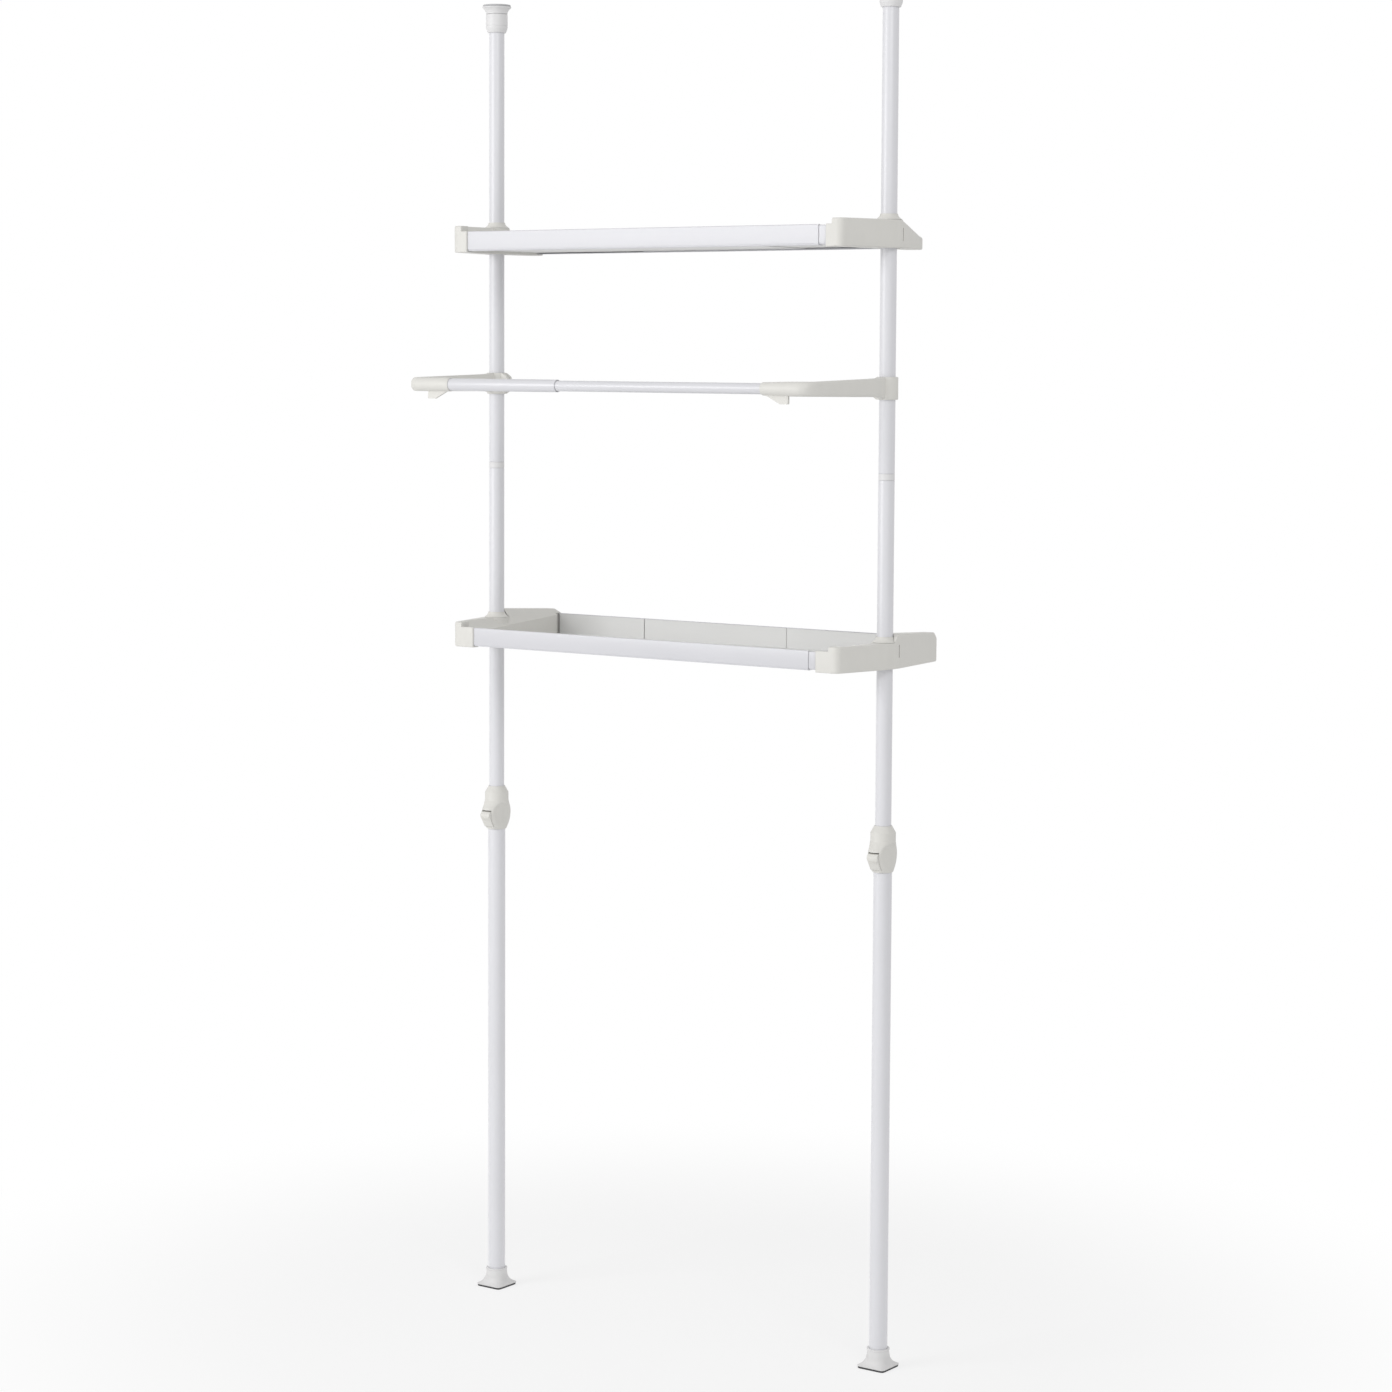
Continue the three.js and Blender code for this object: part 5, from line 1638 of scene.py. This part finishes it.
class Arm:
    """One arm of the hanging bar. Its rings are set out from the pole: x inboard and -y forward."""

    def __init__(self, side):
        self.node = f"hanger_{side}_arm"
        self.side = side
        self.axis = pole_axis(side)
        bar_low, bar_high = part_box("hanger_outer_bar" if side == "left" else "hanger_inner_bar")
        self.bar = (bar_low + bar_high) / 2
        self.bar_radius = (bar_high.z - bar_low.z) / 2
        self.level = self.bar.z
        self.reach = self.axis.y - self.bar.y
        self.socket = self.bar.y - low_of(self.node).y

    def inboard(self, x):
        return self.axis.x - outward(self.side) * x

    def body(self):
        rings = [*self.shank(), *self.elbow(), *self.bar_socket()]
        placed = []
        for ring in rings:
            placed.append([Vector((self.inboard(x), self.axis.y + y, self.level + z)) for x, y, z in ring])
        return skin(f"{self.node}_moulding", placed)

    def shank(self):
        """The straight stretch, whose upper half is lifted towards the pole."""
        length = self.reach - ARM_BEND
        for k in range(ARM_STEPS + 1):
            along = length * (k / ARM_STEPS) ** ARM_STEP_POWER
            height = along_curve(ARM_HEIGHTS, along)
            lift = 1 + ARM_LIFT_SHARE * (1 - along / length)
            ring = arm_ring(Vector((0, -along)), Vector((0, -1)), ARM_WIDTH, height, 0)
            for point in ring:
                if point.z > 0:
                    point.z = min(point.z * lift, ARM_LIMIT_SHARE * COLLAR_HALF)
            yield ring

    def elbow(self):
        """The bend into the bar's socket, where the section swells into a circle."""
        start = self.reach - ARM_BEND
        for k in range(1, ELBOW_STEPS + 1):
            t = k / ELBOW_STEPS
            c, s = math.cos(t * QUARTER), math.sin(t * QUARTER)
            spot = Vector((ARM_BEND - ARM_BEND * c, -start - ARM_BEND * s))
            swell = t * t * (3 - 2 * t)
            width = ARM_WIDTH + (2 * self.socket - ARM_WIDTH) * swell
            height = ELBOW_HEIGHT + (2 * self.socket - ELBOW_HEIGHT) * swell
            yield arm_ring(spot, Vector((s, -c)), width, height, swell)

    def bar_socket(self):
        slim = min(self.socket, self.bar_radius + BAR_SOCKET_SLIM)
        tapered = slim + (self.socket - slim) * BAR_SOCKET_TAPER_SHARE
        stations = near(ARM_BEND, self.socket, (12, 0)) + near(BAR_SOCKET_END, tapered, (-14, 0))
        stations += near(BAR_SOCKET_END, slim, (-1.0, 0), (-0.3, -0.25), (0, -0.7))
        for along, radius in stations:
            spot = Vector((along, -self.reach))
            yield arm_ring(spot, Vector((1, 0)), 2 * radius, 2 * radius, 1)

    def collar(self):
        low, high = self.level - COLLAR_HALF, self.level + COLLAR_HALF
        profile = [(0, low), *near(COLLAR_RADIUS, low, (-1.6, 0), (-0.5, 0.4), (0, 1.6))]
        profile += [*near(COLLAR_RADIUS, high, (0, -1.6), (-0.5, -0.4), (-1.6, 0)), (0, high)]
        return turned("collar", profile, self.axis, COLLAR_ROUND)

    def fin(self):
        """The hook's flat fin under the bar's socket."""
        start, bend, slope, end = (self.inboard(reach * MM) for reach in FIN_REACHES)
        core = self.level - self.socket / 2 - self.bar_radius / 2
        drop = self.level - self.socket - FIN_DROP
        outline = [(start, core), (end, core), (slope, self.level - self.socket, FIN_CORNERS[2])]
        outline += [(bend, drop, FIN_CORNERS[1]), (start, drop, FIN_CORNERS[0])]
        ends = (self.bar.y - FIN_HALF, self.bar.y + FIN_HALF)
        return carried_along_y("fin", rounded(outline, steps=7), *ends)

    def lug(self):
        """The clamp's lug beside the collar."""
        low, high = self.level - COLLAR_HALF + LUG_INSET, self.level + COLLAR_HALF - LUG_INSET
        root, end = self.inboard(COLLAR_RADIUS), self.inboard(LUG_REACH)
        outline = [(self.axis.x, low), (root, low, LUG_ROOT_CORNER)]
        outline += [(end, self.level + rise, LUG_CORNER) for rise in (-LUG_END, LUG_END)]
        outline += [(root, high, LUG_ROOT_CORNER), (self.axis.x, high)]
        ends = (self.axis.y - LUG_HALF, self.axis.y + LUG_HALF)
        lug = carried_along_y("lug", rounded(outline, steps=8), *ends)
        ease_edges(lug, LUG_EASE)
        return lug

    def cutters(self):
        """Cutters for the pole, the bar, the clamp screw and the lug's slit."""
        ends = (self.level - COLLAR_OVERRUN, self.level + COLLAR_OVERRUN)
        yield upright_cutter(self.axis, *ends, POLE_BORE, COLLAR_ROUND)
        ends = (self.inboard(ARM_BEND), self.inboard(BAR_SOCKET_END + LONG_OVERRUN))
        yield level_cutter(self.bar, *ends, self.bar_radius + BAR_PLAY, BORE_ROUND)
        screw = middle_of(f"hanger_{self.side}_screw")
        front, back = self.axis.y - COLLAR_OVERRUN, self.axis.y + COLLAR_OVERRUN
        yield rod("cutter", (screw.x, front, screw.z), (screw.x, back, screw.z), CLAMP_HOLE)
        ends = sorted((self.axis.x, self.inboard(LUG_REACH + OVERRUN)))
        first = (ends[0], self.axis.y - LUG_SLIT / 2, self.level - 2 * COLLAR_HALF)
        last = (ends[1], self.axis.y + LUG_SLIT / 2, self.level + 2 * COLLAR_HALF)
        yield block("cutter", first, last)


class RACK_OT_hanger_arms(bpy.types.Operator):
    """Make the two arms that carry the hanging bar, with their clamp screws"""

    bl_idname = "rack.hanger_arms"
    bl_label = "Hanger arms"

    def execute(self, context):
        heads = knurl_tree()
        for side in SIDES:
            self.make_arm(Arm(side))
            self.make_screw(side, heads, context.scene.rack_sizes.knurls)
        return {"FINISHED"}

    def make_arm(self, arm):
        body = arm.body()
        combine(body, "UNION", arm.collar(), arm.fin(), arm.lug())
        combine(body, "DIFFERENCE", *arm.cutters())
        deliver(body, arm.node, "plastic", angle=34)

    def make_screw(self, side, heads, knurls):
        node = f"hanger_{side}_screw"
        low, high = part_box(node)
        middle = (low + high) / 2
        neck = high.y - CLAMP_GRIP
        ends = ((middle.x, low.y, middle.z), (middle.x, neck + CLAMP_SINK, middle.z))
        deliver(rod(f"{node}_turned", *ends, CLAMP_SHAFT, ease=CLAMP_EASE), node, "steel")
        values = {"Ridges": knurls, "Radius": (high.z - low.z) / 2, "Depth": KNURL_DEPTH}
        values |= {"Height": CLAMP_GRIP, "Foot": Vector((middle.x, neck, middle.z))}
        head = heads.grow(f"{node}_head", **values, Turn=Vector((-QUARTER, 0, 0)))
        deliver(head, node, "steel", detail=True)


# Rail screws

SCREW_CORE = 1.6 * MM
SCREW_CREST = 2 * MM
SCREW_PITCH = 0.7 * MM
# The head's profile from its middle: a share of its radius, and the height in millimetres
SCREW_HEAD_SHARES = ((0, 0), (0.6, 0.05), (0.88, 0.35), (1, 0.9), (1, 1.4))
SCREW_SHAFT_START = 1.4 * MM
SCREW_THREAD_START = 1.6 * MM
SCREW_THREAD_END = 0.8 * MM
SCREW_TIP = (1.9 * MM, 1.4 * MM)
SCREW_CROSS = (2.2 * MM, 0.5 * MM)
SCREW_CROSS_DEPTH = 0.9 * MM


class RACK_OT_rail_screws(bpy.types.Operator):
    """Make the cross-head screws under the brackets"""

    bl_idname = "rack.rail_screws"
    bl_label = "Rail screws"

    def execute(self, context):
        for shelf in SHELVES:
            for side in SIDES:
                self.make_screw(f"{shelf}_{side}_rail_screw")
        return {"FINISHED"}

    def make_screw(self, node):
        low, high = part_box(node)
        middle = (low + high) / 2
        head = radius_of(node)
        profile = [(head * share, low.z + up * MM) for share, up in SCREW_HEAD_SHARES]
        profile.append((SCREW_CREST, low.z + SCREW_SHAFT_START))
        height = low.z + SCREW_THREAD_START
        while height < high.z - SCREW_THREAD_END:
            profile += [(SCREW_CREST, height), (SCREW_CORE, height + SCREW_PITCH / 2)]
            height += SCREW_PITCH
        profile += [(SCREW_TIP[0], height), (SCREW_TIP[1], high.z), (0, high.z)]
        piece = turned(f"{node}_turned", profile, middle, SCREW_ROUND)
        foot, depth = low.z - LONG_OVERRUN, low.z + SCREW_CROSS_DEPTH
        for x, y in (SCREW_CROSS, SCREW_CROSS[::-1]):
            ends = ((middle.x - x, middle.y - y, foot), (middle.x + x, middle.y + y, depth))
            combine(piece, "DIFFERENCE", block("cutter", *ends))
        deliver(piece, node, "steel", angle=30)


# Stage

FLOOR_HALF = 14
FLOOR_ROUGHNESS = 0.8
FLOOR_SHINE = 0.15
# The floor goes from partly to fully white between these distances from the rack's middle
FLOOR_FADE = {"from_min": 0.6, "from_max": 1.7, "to_min": 0.7, "to_max": 1.0}
WHITE = {"Color": (1, 1, 1, 1), "Strength": 1.0}
# Each lamp's place, what it is aimed at, and its width
KEY_LAMP = ((-2.4, -4.2, 2.5), (0, 0, 1.2), 2.4)
FILL_LAMP = ((3.3, -2.6, 3.9), (0, 0, 1.2), 2.0)
BOUNCE_LAMP = ((0, -0.5, 0.02), (0, -0.5, 1), 3.0)
CAMERA_PLACE = (3.47, -4.7553, 1.7723)
CAMERA_YAW = math.radians(35.6359)
CAMERA_PITCH = math.radians(4.6667)
CAMERA_ROLL = math.radians(0.286)
CAMERA_SHIFT = -0.055
SENSOR_WIDTH = 36


class RACK_OT_stage(bpy.types.Operator):
    """Set up the floor, the light and the camera"""

    bl_idname = "rack.stage"
    bl_label = "Stage"

    def execute(self, context):
        stage = context.scene.rack_stage
        self.make_floor(tuple(stage.floor))
        self.make_world(context.scene, stage.sky)
        self.make_lamp("key", *KEY_LAMP, stage.key_power)
        self.make_lamp("fill", *FILL_LAMP, stage.fill_power)
        self.make_lamp("bounce", *BOUNCE_LAMP, stage.bounce_power).visible_camera = False
        self.make_camera(context.scene, stage.lens)
        context.scene.view_settings.view_transform = "Standard"
        return {"FINISHED"}

    def make_floor(self, colour):
        corners = [(x * FLOOR_HALF, y * FLOOR_HALF, 0) for x, y in ((-1, -1), (1, -1), (1, 1), (-1, 1))]
        floor = solid_from("floor", corners, [(0, 1, 2, 3)])
        if floor.data.polygons[0].normal.z < 0:
            floor.data.flip_normals()
        paint = Finish("pale_floor", FLOOR_ROUGHNESS)
        paint.shader.inputs["Specular IOR Level"].default_value = FLOOR_SHINE
        at = paint.node("ShaderNodeTexCoord", output="Object")
        paint.vary_colour(paint.noise(at, scale=3, detail=2), colour, 0.99, 1.01)
        reach = paint.node("ShaderNodeVectorMath", {"operation": "LENGTH"}, {0: at}, output="Value")
        far = paint.span(reach, "SMOOTHSTEP", **FLOOR_FADE)
        white = paint.node("ShaderNodeEmission", values=WHITE)
        lit = Sum(paint, paint.shader.outputs["BSDF"])
        values = {0: paint.seen_directly() * far, 1: lit, 2: white}
        blend = paint.node("ShaderNodeMixShader", values=values)
        paint.feed(paint.tree.nodes["Material Output"].inputs["Surface"], blend)
        floor.data.materials.append(paint.material)

    def make_world(self, scene, sky):
        scene.world = bpy.data.worlds.new("room")
        scene.world.use_nodes = True
        graph = Graph(scene.world.node_tree)
        room = graph.tree.nodes["Background"]
        room.inputs["Color"].default_value = WHITE["Color"]
        room.inputs["Strength"].default_value = sky
        white = graph.node("ShaderNodeBackground", values=WHITE)
        values = {0: graph.seen_directly(), 1: Sum(graph, room.outputs[0]), 2: white}
        blend = graph.node("ShaderNodeMixShader", values=values)
        graph.feed(graph.tree.nodes["World Output"].inputs["Surface"], blend)

    def make_lamp(self, name, place, aim, size, power):
        data = bpy.data.lights.new(name, "AREA")
        data.shape = "SQUARE"
        data.size = size
        data.energy = power
        lamp = solid(name, data)
        lamp.location = place
        lamp.rotation_euler = (Vector(aim) - Vector(place)).to_track_quat("-Z", "Y").to_euler()
        return lamp

    def make_camera(self, scene, lens):
        data = bpy.data.cameras.new("camera")
        data.sensor_width = SENSOR_WIDTH
        data.lens = lens
        data.shift_y = CAMERA_SHIFT
        camera = solid("camera", data)
        c, s = math.cos(CAMERA_YAW), math.sin(CAMERA_YAW)
        level = math.cos(CAMERA_PITCH)
        ahead = Vector((-s * level, c * level, -math.sin(CAMERA_PITCH)))
        right = Vector((c, s, 0))
        up = right.cross(ahead)
        c, s = math.cos(CAMERA_ROLL), math.sin(CAMERA_ROLL)
        turn = Matrix((right * c + up * s, up * c - right * s, -ahead)).transposed()
        camera.matrix_world = Matrix.Translation(CAMERA_PLACE) @ turn.to_4x4()
        scene.camera = camera


STEPS = (
    RACK_OT_tubes,
    RACK_OT_hanging_bar,
    RACK_OT_feet,
    RACK_OT_locks,
    RACK_OT_connectors,
    RACK_OT_jacks,
    RACK_OT_brackets,
    RACK_OT_sleeves,
    RACK_OT_rails,
    RACK_OT_boards,
    RACK_OT_hanger_arms,
    RACK_OT_rail_screws,
    RACK_OT_stage,
)


class RACK_PT_sidebar(bpy.types.Panel):
    """The rack's steps, in the order in which they are run"""

    bl_label = "Tension pole rack"
    bl_idname = "RACK_PT_sidebar"
    bl_space_type = "VIEW_3D"
    bl_region_type = "UI"
    bl_category = "Rack"

    def draw(self, context):
        column = self.layout.column(align=True)
        for step in STEPS:
            column.operator(step.bl_idname)
        for group in (context.scene.rack_sizes, context.scene.rack_colours, context.scene.rack_stage):
            box = self.layout.box()
            for name in group.bl_rna.properties.keys():
                if name not in {"rna_type", "name"}:
                    box.prop(group, name)


CLASSES = (RackSizes, RackColours, RackStage, *STEPS, RACK_PT_sidebar)


def register():
    for kind in CLASSES:
        bpy.utils.register_class(kind)
    bpy.types.Scene.rack_sizes = PointerProperty(type=RackSizes)
    bpy.types.Scene.rack_colours = PointerProperty(type=RackColours)
    bpy.types.Scene.rack_stage = PointerProperty(type=RackStage)


def unregister():
    del bpy.types.Scene.rack_stage
    del bpy.types.Scene.rack_colours
    del bpy.types.Scene.rack_sizes
    for kind in reversed(CLASSES):
        bpy.utils.unregister_class(kind)


def main():
    register()
    for step in STEPS:
        group, name = step.bl_idname.split(".")
        getattr(getattr(bpy.ops, group), name)()


if __name__ == "__main__":
    main()
